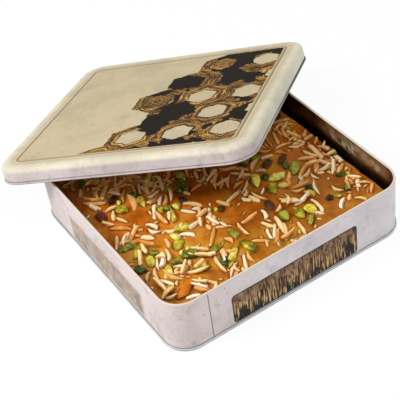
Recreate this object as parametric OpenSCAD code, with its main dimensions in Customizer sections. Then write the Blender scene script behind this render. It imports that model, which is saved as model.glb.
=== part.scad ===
/* [Tin] */
// Side of the square tin, across the outer faces of its walls
tin_side = 220; // [180:1:260]
// Height of the tin, from the table to the top of its rim
tin_height = 51; // [46:0.5:70]
// Outer radius of the tin's upright corners
corner_radius = 20.5; // [18:0.5:34]
// Thickness of the tinplate that the tin, its base and its lid are made of
sheet = 0.35; // [0.25:0.05:0.5]
// Outer diameter of the curl that is rolled inwards along the rim
rim_curl = 1.9; // [1.5:0.1:3]
// How far the rim's curl goes round, in degrees
rim_curl_turn = 280; // [200:5:290]
// Distance of the lapped side seam from the bend of the corner beside it
seam_place = 11; // [2:0.5:50]
// Width of the lap that lies behind that seam
seam_lap = 6; // [3:0.5:12]

/* [Base] */
// Height of the rolled edge of the base round the foot of the walls
foot_height = 2.8; // [2:0.1:5]
// How far the rolled edge stands out from the walls
foot_proud = 1; // [0.6:0.1:2]
// Clearance between the rolled edge and the walls
foot_clearance = 0.05; // [0.02:0.01:0.1]

/* [Lid] */
// Clearance on each side between the tin's walls and the inside of the lid's skirt
lid_clearance = 0.85; // [0.5:0.05:1.5]
// Overall height of the lid, from its hem to its panel
lid_height = 14; // [12:0.5:20]
// Radius of the lid's shoulder, where the skirt bends over into the panel
shoulder_radius = 4.6; // [2:0.2:7]
// How far the hem, rolled outwards, stands out from the skirt
hem_proud = 0.9; // [0.7:0.1:2]
// How far the hem's roll goes round, in degrees
hem_turn = 270; // [200:5:300]
// Distance of the pressed line on the panel from the lid's edge
line_inset = 13.7; // [8:0.1:15]
// Width of that pressed line
line_width = 1.6; // [0.8:0.1:2.4]
// Depth of that pressed line
line_depth = 0.4; // [0.2:0.05:1]

/* [Lid leaning on the tin] */
// Turn of the lid about the upright, in degrees
lid_turn = 42.4; // [35:0.1:50]
// Height of the lid's lowest corner above the table, behind the tin; the lid's lean follows
low_corner_height = 1.5; // [0.3:0.1:10]
// Smaller lean of the lid along the rim that carries it, in degrees
lid_roll = 2.5; // [0:0.1:4]
// Gap left between the lid and what it leans on
lean_clearance = 0.3; // [0.2:0.05:0.5]

/* [Brittle] */
// Height of the brittle's surface above the table
brittle_level = 27; // [20:0.5:32]
// Gap between the brittle and the walls
brittle_gap = 2.4; // [1:0.1:5]
// Rounding of the brittle's upper edge
brittle_edge = 3; // [1:0.5:6]

/* [Nuts] */
// Length of the longest almond sliver
sliver_length = 20; // [16:0.5:24]
// Width of an almond sliver
sliver_width = 3.2; // [2:0.1:4]
// Thickness of an almond sliver
sliver_height = 1.9; // [1.2:0.1:3]
// Length of the longest pistachio kernel
kernel_length = 15; // [12:0.5:18]
// Width of a pistachio kernel
kernel_width = 7; // [5:0.1:9]
// Thickness of a pistachio kernel above the brittle
kernel_height = 3.9; // [3:0.1:6]
// Length of the largest caramel lump
lump_length = 24; // [16:0.5:30]
// Width of a caramel lump
lump_width = 8.5; // [6:0.1:11]
// Thickness of a caramel lump above the brittle
lump_height = 5; // [3:0.1:7]
// Length of the longest almond chip
chip_length = 5; // [3:0.1:7]
// Width of an almond chip
chip_width = 2.4; // [1.5:0.1:4]
// Thickness of an almond chip
chip_height = 1.5; // [0.8:0.1:2.5]
// Height above the brittle to which nuts are piled; one that would lie higher is left out
pile_height = 6.5; // [4:0.5:10]
// Gap between a nut and one that lies across it
nut_clearance = 0.12; // [0.05:0.01:0.3]
// How many slivers are tried in the scattered border
scatter_slivers = 190; // [60:1:260]
// How many almond chips are tried over the whole slab
scatter_chips = 130; // [40:1:200]
// Which scatter of nuts is drawn
scatter_seed = 7; // [1:1:40]

/* [Hidden] */
$fn = 48;
// Straight steps that stand for the round of a rolled edge and for a quarter of the lid's shoulder
curl_steps = 12;
shoulder_steps = 6;
right_angle = 90;
half_turn = 180;
// Share of a nut's width by which its rounded ends shorten its middle line, and the share of its
// length that this line keeps at least
core_share = 0.94;
least_core_share = 0.25;
// Steps along a nut at which it is laid on those under it, and the steepest that it may lean
lie_steps = 12;
steepest = 0.7;
// Stands for the line of a piece that finds no place low enough
left_out = [];
// Gap between the top of the seam's lap and the rim's curl
lap_clearance = 0.3;
// The lid's lean, in degrees, is looked for below this one, by halving it so many times
steepest_lean = 40;
lean_steps = 24;

half_side = tin_side / 2;
curl_radius = rim_curl / 2;
lid_half = half_side + lid_clearance + sheet;
lid_corner = corner_radius + lid_clearance + sheet;
hem_radius = (hem_proud + sheet) / 2;
hem_half = lid_half + hem_proud;
hem_corner = lid_corner + hem_proud;
brittle_half = half_side - sheet - brittle_gap;
brittle_corner = corner_radius - sheet - brittle_gap;

// The lid leans over the back left rim, its middle a little inside the tin
lid_middle_share = [-0.862, 0.09];

// Rows of nuts laid one by one: place across and along as shares of half the slab, heading in
// degrees, length as a share of the longest, and width as a share where it isn't the usual one
cream_shares = [
    [0.44, -0.44, 42, 0.75], [0.55, -0.43, 42, 0.6], [0.55, -0.47, 38, 0.75],
    [0.64, -0.59, 52, 0.95], [0.78, -0.37, -52, 0.95],
    [0.37, -0.71, -32, 0.9, 1.4], [0.37, -0.66, -20, 0.65], [0.58, -0.75, 42, 0.8, 1.4],
    [0.57, -0.82, 27, 0.85], [0.73, -0.87, 45, 0.55], [0.77, -0.26, -25, 0.8], [0.48, -0.08, -2, 0.85],
    [0.65, 0.04, -17, 0.65], [0.57, 0.09, 25, 0.6], [0.67, 0.08, -35, 0.75], [0.75, 0.05, -35, 1],
    [0.67, 0.14, -8, 0.9, 1.2], [0.74, 0.13, -30, 0.7], [0.72, 0.19, 6, 0.85], [0.76, 0.26, -12, 0.75],
    [0.37, -0.17, 58, 0.65], [0.64, 0.5, -5, 0.9, 1.2], [0.53, 0.44, -84, 0.85, 1.2],
    [0.49, 0.36, 42, 0.7, 1.5], [0.5, 0.59, -12, 0.6], [0.4, 0.84, -42, 0.55],
    [0.36, 0.78, 65, 0.5, 1.2], [0.45, 0.87, -52, 0.9], [0.65, 0.88, -30, 0.45, 1.3],
    [0.74, 0.65, -48, 0.65, 1.3], [0.59, 0.72, 22, 0.6, 1.2], [0.26, -0.43, 50, 0.65, 1.5],
    [0.22, -0.33, -70, 0.65, 1.3], [0.18, -0.52, 60, 0.45, 1.2], [0.01, -0.58, 28, 0.55, 1.4],
    [0.07, -0.6, 38, 0.6, 1.4], [0.1, -0.67, 38, 0.55, 1.7], [-0.08, -0.5, -33, 0.5],
    [0.21, -0.77, -10, 0.55], [0.27, -0.84, -30, 0.65], [0.2, -0.18, -28, 0.8, 1.2],
    [0.29, -0.2, -32, 0.55, 1.2], [0.08, -0.22, 42, 0.45, 1.3], [0.02, -0.22, 48, 0.75, 1.2],
    [0.24, -0.29, -25, 0.5], [0.17, -0.04, 28, 0.6], [0.24, 0.13, 40, 0.45, 1.5],
    [0.29, 0.17, 15, 0.55, 1.2], [0.15, 0.87, -7, 1, 1.5], [0.17, 0.93, 0, 0.7, 1.3],
    [0.14, 0.81, 12, 0.8, 1.2], [0.34, 0.94, -15, 0.55, 1.4], [-0.46, -0.63, 35, 0.6],
    [0.14, -0.23, -22, 0.5], [0.17, -0.23, -85, 0.5], [-0.2, -0.45, -60, 0.45, 1.4],
    [-0.06, 0.54, 75, 0.5], [-0.03, 0.39, -65, 0.5, 1.2], [0.07, 0.39, 15, 0.55],
    [-0.03, 0.83, 70, 0.55], [0.63, -0.34, -12, 0.4, 1.3], [0.46, 0.14, -15, 0.55, 1.2],
    [0.73, 0.45, 60, 0.35]
];
toasted_shares = [
    [0.41, -0.3, -43, 1], [0.6, -0.54, -75, 0.5], [0.57, -0.64, -60, 0.35],
    [0.76, -0.57, 36, 0.7], [0.75, -0.64, -40, 0.5], [0.8, -0.61, -15, 0.45], [0.8, -0.66, 40, 0.5],
    [0.47, -0.83, -20, 0.85], [0.44, -0.88, -45, 0.6], [0.6, -0.87, 8, 0.7], [0.69, -0.88, -75, 0.55],
    [0.77, -0.21, -3, 0.65], [0.42, 0.03, -80, 0.85], [0.67, -0.05, 50, 0.7], [0.78, 0.13, -80, 0.7],
    [0.49, 0.25, -48, 0.6], [0.51, -0.22, 20, 0.45, 1.4], [0.32, -0.27, 0, 0.3],
    [0.4, 0.53, 60, 0.75], [0.42, 0.48, 53, 0.55], [0.37, 0.68, 8, 0.55],
    [0.73, 0.73, -45, 0.35], [0.79, 0.79, 38, 0.5], [0.76, 0.92, -45, 0.55], [0.58, 0.9, 25, 0.6],
    [0.6, 0.85, -15, 0.35], [0.32, 0.74, -45, 0.55], [0.34, 0.57, -50, 0.5], [0.27, -0.6, -18, 0.8],
    [0.0, -0.49, 12, 0.65], [0.04, -0.44, -30, 0.45], [-0.16, -0.35, -35, 0.75],
    [-0.29, -0.57, -12, 0.8, 1.9], [-0.2, -0.73, 25, 0.7], [-0.12, -0.78, 50, 1, 1.4],
    [-0.22, -0.83, 45, 0.5], [-0.02, -0.68, 45, 0.35], [0.0, -0.74, -55, 0.7], [0.02, -0.82, -68, 0.6],
    [0.06, -0.83, -70, 0.35], [0.09, -0.76, -82, 0.45], [0.19, -0.73, 35, 0.65],
    [-0.26, -0.76, -28, 0.55], [-0.33, -0.74, 50, 0.55], [0.15, 0.06, -72, 0.75], [0.12, 0.2, -52, 0.9],
    [0.19, 0.16, -40, 0.35], [0.06, 0.17, -75, 0.65], [0.27, 0.22, 18, 0.85], [-0.04, 0.09, -40, 0.75],
    [-0.07, 0.05, -35, 0.85], [-0.12, 0.08, -52, 0.65], [-0.16, 0.0, 70, 0.6], [-0.13, -0.09, -80, 0.6],
    [-0.12, -0.18, 25, 0.35], [-0.22, 0.05, -28, 0.55], [-0.18, 0.1, -42, 0.55],
    [-0.03, 0.26, 42, 0.85], [-0.08, 0.29, 38, 0.8], [-0.14, 0.21, 45, 0.75], [-0.17, -0.3, -25, 0.55],
    [-0.25, -0.01, -15, 0.55], [0.24, 0.8, 30, 0.6], [0.17, 0.75, 40, 0.65], [0.29, 0.75, -40, 0.75],
    [0.26, 0.65, -58, 0.7], [0.25, 0.52, -50, 0.5], [0.33, 0.46, -45, 0.5], [-0.13, 0.57, 58, 0.65],
    [-0.04, 0.65, 45, 0.45, 1.4], [-0.09, 0.72, 82, 0.85], [-0.2, 0.73, -18, 0.85],
    [-0.2, 0.8, 3, 0.95], [-0.19, 0.66, -12, 0.55], [-0.12, 0.88, -10, 0.65], [-0.09, 0.94, -50, 0.45],
    [-0.02, 0.92, -70, 0.55], [0.04, 0.95, -50, 0.45], [-0.29, 0.91, 35, 0.55],
    [-0.26, 0.87, -65, 0.45], [-0.4, -0.44, -25, 0.65], [-0.57, -0.45, 30, 0.55],
    [-0.54, -0.5, -20, 0.55], [-0.62, -0.6, -40, 0.75], [-0.69, -0.62, -50, 0.6],
    [-0.55, -0.68, -55, 0.65], [-0.62, -0.72, -40, 0.65], [-0.71, -0.7, 30, 0.55],
    [-0.57, -0.8, 35, 0.65], [-0.66, -0.83, -30, 0.6], [-0.78, -0.84, -10, 0.55],
    [-0.51, -0.76, 60, 0.6], [-0.45, -0.81, 20, 0.55], [-0.38, -0.34, 35, 0.6],
    [-0.46, -0.38, 20, 0.55], [-0.52, -0.56, -30, 0.6], [-0.35, -0.42, 15, 0.5], [-0.34, -0.22, 25, 0.5]
];
kernel_shares = [
    [0.63, -0.53, 60, 0.7], [0.5, -0.74, -30, 0.8], [0.33, -0.79, -25, 0.8],
    [0.53, -0.35, -60, 0.85, 0.7], [0.32, -0.54, -50, 0.8], [0.65, -0.15, 15, 0.95],
    [0.65, -0.27, -50, 0.95, 0.85], [0.64, 0.33, 0, 0.75], [0.65, 0.42, 10, 0.75, 1.15],
    [0.5, 0.53, 25, 0.6, 0.7], [0.34, 0.85, -45, 0.65], [0.18, -0.42, 75, 0.8, 1.05],
    [0.24, -0.52, 20, 0.55, 0.8], [-0.12, -0.46, 25, 0.75, 0.8], [0.02, -0.4, -22, 0.85, 0.6],
    [-0.26, -0.51, -8, 0.85, 0.7], [-0.28, -0.68, 35, 0.75], [0.19, -0.81, -35, 0.8],
    [0.12, 0.3, -22, 1, 0.95], [0.27, 0.35, -38, 0.8, 1.05], [0.2, 0.44, 65, 0.8],
    [0.3, 0.43, 50, 0.55, 0.7], [-0.1, 0.45, -30, 0.8], [-0.05, -0.33, 20, 0.45, 0.7],
    [-0.24, -0.27, 30, 0.5, 0.8], [0.65, -0.83, 20, 0.45, 0.7]
];
green_shares = [
    [0.46, -0.53, 65, 0.85], [0.46, -0.64, 50, 0.65, 0.8], [0.67, -0.37, -35, 0.7, 0.8],
    [0.35, -0.9, 10, 0.55], [0.48, -0.16, 5, 0.7, 0.8], [0.58, 0.23, 0, 0.7],
    [0.45, 0.57, 50, 0.45, 0.7], [0.49, 0.83, 60, 0.4, 0.6], [0.63, 0.79, -40, 0.6, 0.7],
    [0.74, 0.36, -50, 0.65, 0.6], [-0.07, -0.4, 0, 0.4, 0.7], [0.1, -0.86, 85, 0.8],
    [0.27, -0.73, 20, 0.45, 0.8], [-0.3, -0.12, 10, 0.7, 0.85], [-0.21, -0.16, 0, 0.85, 0.8],
    [0.2, 0.62, -45, 0.95, 1.1], [0.13, 0.58, -20, 0.5, 0.7], [0.14, 0.38, -10, 0.5, 0.8],
    [0.25, 0.95, 40, 0.45, 0.7], [-0.12, 0.36, 10, 0.5, 0.8], [-0.37, -0.52, 20, 0.55, 0.8],
    [-0.74, -0.77, -20, 0.55, 0.8], [-0.19, -0.22, -10, 0.4, 0.6]
];
dark_shares = [
    [0.41, 0.22, -15, 0.8, 0.95], [0.64, 0.61, 20, 0.4, 0.8], [-0.32, -0.84, 5, 0.85, 1.1],
    [0.2, -0.08, -30, 0.4, 0.8], [-0.08, -0.25, -10, 0.6, 0.8], [0.02, 0.48, -60, 0.9, 1],
    [0.08, 0.59, -60, 0.85, 0.8], [-0.43, -0.67, -60, 0.8, 0.9], [-0.62, 0.36, 40, 0.7, 0.9],
    [-0.36, 0.62, -25, 0.75, 0.9]
];
lump_shares = [
    [0.72, -0.74, -60, 0.95], [-0.55, 0.1, 30, 0.7, 0.9], [0.91, 0.3, 85, 0.6, 0.8]
];
// More pistachios in the border that the rows above leave free, in two tones
border_kernel_shares = [
    [-0.5, -0.1, 20, 0.8], [-0.68, -0.3, -40, 0.7], [-0.4, 0.2, 60, 0.8], [-0.8, 0.05, 10, 0.75],
    [-0.55, 0.75, -30, 0.8], [-0.78, 0.55, 45, 0.8], [-0.9, -0.5, 80, 0.7], [-0.35, 0.42, 15, 0.7],
    [0.92, -0.45, 70, 0.7], [0.92, 0.1, -80, 0.75], [-0.85, 0.85, 30, 0.6], [-0.62, 0.93, 5, 0.7]
];
border_green_shares = [
    [-0.6, -0.05, -60, 0.7], [-0.7, 0.2, 25, 0.75], [-0.48, 0.5, -10, 0.7], [-0.9, 0.35, 75, 0.7],
    [-0.42, 0.88, 50, 0.65], [0.91, 0.62, -70, 0.7], [-0.85, -0.15, -20, 0.65]
];

// Outlines of the pieces: along, width and height at each ring
sliver_ring_shares = [[-0.5, 0.35, 0.45], [-0.36, 0.92, 0.9], [0.22, 1, 1], [0.5, 0.3, 0.45]];
kernel_ring_shares = [
    [-0.5, 0.25, 0.35], [-0.34, 0.78, 0.78], [-0.03, 1, 1], [0.3, 0.8, 0.85], [0.5, 0.22, 0.35]
];
chip_ring_shares = [[-0.5, 0.7, 0.8], [0.5, 0.9, 1]];
// Sections of the pieces: half-width of the foot, height of the edge and half-width of the crown
sliver_section_shares = [0.5, 0.4, 0.4];
kernel_section_shares = [0.28, 0.42, 0.27];
sliver_corner_shares = [[-0.5, 0], [0.5, 0], [0.4, 1], [-0.4, 1]];
kernel_corner_shares = [[-0.28, 0], [0.28, 0], [0.5, 0.42], [0.27, 1], [-0.27, 1], [-0.5, 0.42]];

// Nuts are scattered left of the bent line through these three places, and in the strips along
// the +X wall and the -Y wall that begin at these shares; none is scattered into the corners
border_line_shares = [[-0.9, -0.88], [-0.14, 0.36], [-0.45, 1]];
border_edge_shares = [0.85, -0.93];
scatter_corner_share = 1.7;
// Shortest scattered nut as a share of the longest, and how many of the slivers are cream
least_length_share = 0.4;
cream_share = 0.5;

function arc(middle, radius, from, to, steps) =
    [for (k = [0 : steps]) let (a = from + (to - from) * k / steps)
        middle + radius * [cos(a), sin(a)]];
function turned(p, a) = [p[0] * cos(a) - p[1] * sin(a), p[0] * sin(a) + p[1] * cos(a)];
function cross2(a, b) = a[0] * b[1] - a[1] * b[0];
function square_reach(half, radius, way) =
    (half - radius) * (abs(way[0]) + abs(way[1])) + radius * norm(way);

// The leaning lid lies with its panel on the rim, and leans until its lowest corner is down at
// its height above the table: each lean gives a level for the one and a level for the other
lid_middle = lid_middle_share * half_side;
function corner_level(lean) =
    low_corner_height
        + square_reach(hem_half, hem_corner, turned([-cos(lid_roll) * sin(lean), sin(lid_roll)],
            half_turn - lid_turn));
function rim_level(lean) =
    let (rim_way = [-sin(lean), sin(lid_roll) * cos(lean)],
        over = square_reach(half_side, corner_radius, rim_way) - rim_way * lid_middle,
        under = lid_height - sheet - line_depth - lean_clearance)
            tin_height + (over - under) / (cos(lid_roll) * cos(lean));
function settled(low, high, steps) =
    let (lean = (low + high) / 2)
        steps == 0 ? lean
            : rim_level(lean) > corner_level(lean) ? settled(lean, high, steps - 1)
                : settled(low, lean, steps - 1);
lid_lean = settled(0, steepest_lean, lean_steps);
lid_level = rim_level(lid_lean);

// A laid piece is its middle, heading, length, width, height and kind. Two pieces meet when the
// outlines round their middle lines do.
function laid(rows, long, wide, high, kind) =
    [for (r = rows) [[r[0], r[1]] * brittle_half, r[2], r[3] * long,
        (len(r) > 4 ? r[4] : 1) * wide, high, kind]];
function way(p) = [cos(p[1]), sin(p[1])];
function core_length(p) = max(p[2] - core_share * p[3], least_core_share * p[2]);
function half_way(p) = core_length(p) / 2 * way(p);
function point_gap(q, a, b) =
    let (s = max(0, min(1, (q - a) * (b - a) / ((b - a) * (b - a))))) norm(q - a - (b - a) * s);
function ends_cross(a, b, c, d) =
    cross2(b - a, c - a) * cross2(b - a, d - a) < 0 && cross2(d - c, a - c) * cross2(d - c, b - c) < 0;
function plan_gap(p, q) =
    let (a = p[0] - half_way(p), b = p[0] + half_way(p), c = q[0] - half_way(q), d = q[0] + half_way(q))
        ends_cross(a, b, c, d) ? 0
            : min(point_gap(a, c, d), point_gap(b, c, d), point_gap(c, a, b), point_gap(d, a, b));
function is_near(p, q) = norm(p[0] - q[0]) < (p[2] + q[2] + p[3] + q[3]) / 2;
function meets(p, q) = is_near(p, q) && plan_gap(p, q) < (p[3] + q[3]) / 2 + nut_clearance;
function is_free(p, others) = len([for (q = others) if (meets(p, q)) 1]) == 0;

// A piece lies on what is under it: flat, or leaning with one end down where that is lower.
// Its line is the height of its middle and its slope. Sections of the two pieces that touch say
// how high the upper one must be.
function core_gap(point, p) = point_gap(point, p[0] - half_way(p), p[0] + half_way(p));
function section(p) =
    p[5] == "kernel" || p[5] == "green" || p[5] == "dark" || p[5] == "lump"
        ? kernel_section_shares : sliver_section_shares;
function top_at(q, off) =
    let (crown = section(q)[2] * q[3], drop = (1 - section(q)[1]) * q[4])
        q[4] - drop * max(0, off - crown) / (q[3] / 2 - crown);
function under_at(p, off) =
    let (foot = section(p)[0] * p[3], rise = section(p)[1] * p[4])
        foot < p[3] / 2 ? rise * max(0, off - foot) / (p[3] / 2 - foot) : 0;
function rest_over(p, q, gap) =
    let (foot = section(p)[0] * p[3], edge = p[3] / 2,
        crown = max(foot, min(edge, gap - section(q)[2] * q[3])))
        max([for (off = [foot, crown, edge])
            if (gap - off < q[3] / 2 + nut_clearance) top_at(q, gap - off) - under_at(p, off)]);
function level_over(p, q, line, point, gap) =
    line[0] + line[1] * ((point - q[0]) * way(q)) + abs(line[1]) * p[3] / 2
        + rest_over(p, q, gap) + nut_clearance;
function needed_level(p, k, near, lines) =
    let (half_step = core_length(p) / lie_steps / 2,
        point = p[0] + (2 * k - lie_steps) * half_step * way(p))
        max([brittle_level, for (j = near)
            let (q = pieces[j], gap = core_gap(point, q) - half_step)
                if (gap < (q[3] + p[3]) / 2 + nut_clearance) level_over(p, q, lines[j], point, gap)]);
function lie_line(i, lines) =
    let (p = pieces[i], long = core_length(p), end = (p[2] - long) / 2, step = long / lie_steps,
        near = [for (j = [0 : 1 : i - 1]) if (lines[j] != left_out && is_near(p, pieces[j])) j],
        need = [for (k = [0 : lie_steps]) needed_level(p, k, near, lines)],
        flat = max(need), last = need[lie_steps],
        up = max([for (k = [1 : lie_steps]) (need[k] - need[0]) / (k * step)]),
        down = max([for (k = [1 : lie_steps]) (need[lie_steps - k] - last) / (k * step)]),
        lines_up = abs(up) < steepest ? [[need[0] + up * long / 2 + abs(up) * end, up]] : [],
        lines_down = abs(down) < steepest ? [[last + down * long / 2 + abs(down) * end, -down]] : [],
        choice = concat([[flat, 0]], lines_up, lines_down),
        lowest = min([for (c = choice) c[0]]))
            lowest > brittle_level + pile_height ? left_out
                : [for (c = choice) if (c[0] == lowest) c][0];
function lie_lines(lines = []) =
    len(lines) == len(pieces) ? lines : lie_lines(concat(lines, [lie_line(len(lines), lines)]));

function on_slab(place) = abs(place[0]) + abs(place[1]) < scatter_corner_share * brittle_half;
function in_border(place) =
    let (s = place / brittle_half)
        let (a = border_line_shares[0], b = border_line_shares[1], c = border_line_shares[2])
            (cross2(b - a, s - a) > 0 && cross2(c - b, s - b) > 0)
                || s[0] > border_edge_shares[0] || s[1] < border_edge_shares[1];
function keep_free(candidates, placed, kept = [], i = 0) =
    i == len(candidates) ? kept
        : keep_free(candidates, placed, is_free(candidates[i], concat(placed, kept))
            ? concat(kept, [candidates[i]]) : kept, i + 1);

draws_a_piece = 5;
function drawn(count, seed) =
    let (d = rands(0, 1, count * draws_a_piece, seed))
        [for (k = [0 : count - 1]) [for (m = [0 : draws_a_piece - 1]) d[k * draws_a_piece + m]]];
function drawn_place(d, long) = [2 * d[0] - 1, 2 * d[1] - 1] * (brittle_half - long / 2);
function drawn_length(d, long) = long * (least_length_share + (1 - least_length_share) * d[3]);

laid_big = concat(
    laid(kernel_shares, kernel_length, kernel_width, kernel_height, "kernel"),
    laid(border_kernel_shares, kernel_length, kernel_width, kernel_height, "kernel"),
    laid(green_shares, kernel_length, kernel_width, kernel_height, "green"),
    laid(border_green_shares, kernel_length, kernel_width, kernel_height, "green"),
    laid(dark_shares, kernel_length, kernel_width, kernel_height, "dark"),
    laid(lump_shares, lump_length, lump_width, lump_height, "lump"));
laid_slivers = concat(
    laid(cream_shares, sliver_length, sliver_width, sliver_height, "cream"),
    laid(toasted_shares, sliver_length, sliver_width, sliver_height, "toasted"));
big_and_laid = concat(laid_big, laid_slivers);
tried_slivers = [for (d = drawn(scatter_slivers, scatter_seed))
    let (place = drawn_place(d, sliver_length)) if (on_slab(place) && in_border(place))
        [place, half_turn * d[2], drawn_length(d, sliver_length), sliver_width, sliver_height,
            d[4] < cream_share ? "cream" : "toasted"]];
scattered_slivers = keep_free(tried_slivers, big_and_laid);
tried_chips = [for (d = drawn(scatter_chips, scatter_seed + 1))
    let (place = drawn_place(d, chip_length)) if (on_slab(place))
        [place, half_turn * d[2], drawn_length(d, chip_length), chip_width, chip_height, "chip"]];
scattered_chips = keep_free(tried_chips, concat(big_and_laid, scattered_slivers));
pieces = concat(big_and_laid, scattered_slivers, scattered_chips);
lines = lie_lines();

// Points and faces of one piece, lofted through its rings, on a flat underside
function loft_points(piece, line, rings, corners) =
    [for (r = rings) for (c = corners)
        let (p = piece[0] + turned([r[0] * piece[2], c[0] * r[1] * piece[3]], piece[1]))
            [p[0], p[1], line[0] + line[1] * r[0] * piece[2] + c[1] * r[2] * piece[4]]];
function loft_faces(first, rings, corners) =
    concat(
        [for (k = [0 : rings - 2]) for (c = [0 : corners - 1])
            let (a = first + k * corners + c, b = first + k * corners + (c + 1) % corners)
                each [[a, a + corners, b + corners], [a, b + corners, b]]],
        [for (c = [1 : corners - 2]) [first, first + c, first + c + 1]],
        [for (c = [1 : corners - 2]) let (end = first + (rings - 1) * corners)
            [end, end + c + 1, end + c]]);

module pieces_of(kind, rings, corners) {
    mine = [for (i = [0 : len(pieces) - 1]) if (pieces[i][5] == kind && lines[i] != left_out) i];
    step = len(rings) * len(corners);
    polyhedron(
        points = [for (i = mine) each loft_points(pieces[i], lines[i], rings, corners)],
        faces = [for (k = [0 : len(mine) - 1]) each loft_faces(k * step, len(rings), len(corners))]);
}

module round_square(half, radius) {
    square([2 * half, 2 * (half - radius)], center = true);
    square([2 * (half - radius), 2 * half], center = true);
    for (x = [-1, 1], y = [-1, 1])
        translate([x, y] * (half - radius)) circle(radius);
}

// Takes an upright outline once round a square with round corners. The outline's first
// direction is outwards from the square's side, and its second is up.
module round_square_sweep(half, radius) {
    for (turn = [0 : 3])
        rotate([0, 0, turn * right_angle]) {
            translate([half - radius, half - radius, 0])
                rotate_extrude(angle = right_angle) translate([radius, 0]) children();
            translate([half, half - radius, 0]) rotate([right_angle, 0, 0])
                linear_extrude(height = 2 * (half - radius)) children();
        }
}

module side_wall() {
    curl_middle = [-curl_radius, tin_height - curl_radius];
    color("#cfc8c6") {
        round_square_sweep(half_side, corner_radius)
            polygon(concat(
                [[0, sheet]],
                arc(curl_middle, curl_radius, 0, rim_curl_turn, curl_steps),
                arc(curl_middle, curl_radius - sheet, rim_curl_turn, 0, curl_steps),
                [[-sheet, sheet]]));
        translate([half_side - 2 * sheet, corner_radius + seam_place - half_side, sheet])
            cube([sheet, seam_lap, tin_height - rim_curl - lap_clearance - sheet]);
    }
}

module base_plate() {
    inner = foot_clearance;
    round = (foot_proud - foot_clearance) / 2;
    color("#8f8c88") {
        linear_extrude(height = sheet) round_square(half_side + inner, corner_radius + inner);
        round_square_sweep(half_side, corner_radius)
            polygon(concat(
                [[inner, 0]],
                arc([foot_proud - round, round], round, -right_angle, 0, shoulder_steps),
                arc([foot_proud - round, foot_height - round], round, 0, right_angle, shoulder_steps),
                [[inner, foot_height]]));
    }
}

module lid_shape() {
    hem_middle = [hem_radius - sheet, hem_radius];
    bend = [-shoulder_radius, lid_height - shoulder_radius];
    line_far = -line_inset - line_width;
    low = lid_height - sheet;
    round_square_sweep(lid_half, lid_corner)
        polygon(concat(
            arc(hem_middle, hem_radius - sheet, half_turn + hem_turn, half_turn, curl_steps),
            arc(bend, shoulder_radius, 0, right_angle, shoulder_steps),
            [[-line_inset, lid_height], [-line_inset - line_width / 2, lid_height - line_depth]],
            [[line_far, lid_height], [line_far, low]],
            [[-line_inset - line_width / 2, low - line_depth], [-line_inset, low]],
            arc(bend, shoulder_radius - sheet, right_angle, 0, shoulder_steps),
            arc(hem_middle, hem_radius, half_turn, half_turn + hem_turn, curl_steps)));
    translate([0, 0, low]) linear_extrude(height = sheet)
        round_square(lid_half + line_far, lid_corner + line_far);
}

module lid() {
    color("#d8cdb4")
        translate([lid_middle[0], lid_middle[1], lid_level])
            rotate([-lid_roll, 0, 0]) rotate([0, -lid_lean, 0]) rotate([0, 0, lid_turn]) lid_shape();
}

module brittle_slab() {
    edge_level = brittle_level - brittle_edge;
    color("#b5651d") {
        translate([0, 0, sheet]) linear_extrude(height = edge_level - sheet)
            round_square(brittle_half, brittle_corner);
        translate([0, 0, edge_level]) linear_extrude(height = brittle_edge)
            round_square(brittle_half - brittle_edge, brittle_corner - brittle_edge);
        round_square_sweep(brittle_half, brittle_corner)
            polygon(concat(
                [[-brittle_edge, edge_level]],
                arc([-brittle_edge, edge_level], brittle_edge, 0, right_angle, shoulder_steps)));
    }
}

module cream_slivers() {
    color("#ecd9a8") pieces_of("cream", sliver_ring_shares, sliver_corner_shares);
}
module toasted_slivers() {
    color("#cf9657") pieces_of("toasted", sliver_ring_shares, sliver_corner_shares);
}
module almond_chips() {
    color("#e3c48c") pieces_of("chip", chip_ring_shares, sliver_corner_shares);
}
module pistachio_kernels() {
    color("#b3b23a") pieces_of("kernel", kernel_ring_shares, kernel_corner_shares);
}
module green_pistachios() {
    color("#4d6b25") pieces_of("green", kernel_ring_shares, kernel_corner_shares);
}
module dark_kernels() {
    color("#3a2328") pieces_of("dark", kernel_ring_shares, kernel_corner_shares);
}
module caramel_lumps() {
    color("#a9561a") pieces_of("lump", kernel_ring_shares, kernel_corner_shares);
}

side_wall();
base_plate();
lid();
brittle_slab();
cream_slivers();
toasted_slivers();
almond_chips();
pistachio_kernels();
green_pistachios();
dark_kernels();
caramel_lumps();
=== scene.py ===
import math

import bpy
import numpy as np
from mathutils import Matrix, Vector


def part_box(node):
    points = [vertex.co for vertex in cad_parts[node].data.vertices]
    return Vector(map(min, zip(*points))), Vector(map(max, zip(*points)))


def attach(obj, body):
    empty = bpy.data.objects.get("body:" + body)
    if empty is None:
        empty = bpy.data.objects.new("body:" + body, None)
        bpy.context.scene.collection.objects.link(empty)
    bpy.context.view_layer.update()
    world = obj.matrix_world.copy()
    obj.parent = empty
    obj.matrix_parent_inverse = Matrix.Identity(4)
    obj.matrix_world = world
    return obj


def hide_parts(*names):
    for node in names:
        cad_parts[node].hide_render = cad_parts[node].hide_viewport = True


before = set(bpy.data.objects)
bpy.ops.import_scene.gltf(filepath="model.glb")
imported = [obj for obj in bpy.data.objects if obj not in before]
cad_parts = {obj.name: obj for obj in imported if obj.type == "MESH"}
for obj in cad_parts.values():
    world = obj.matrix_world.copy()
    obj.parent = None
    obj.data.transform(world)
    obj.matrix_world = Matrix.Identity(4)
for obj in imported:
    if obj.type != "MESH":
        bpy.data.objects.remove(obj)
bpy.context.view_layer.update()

mm = 0.001
print("frame loaded:", ", ".join(sorted(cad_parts)))


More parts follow.
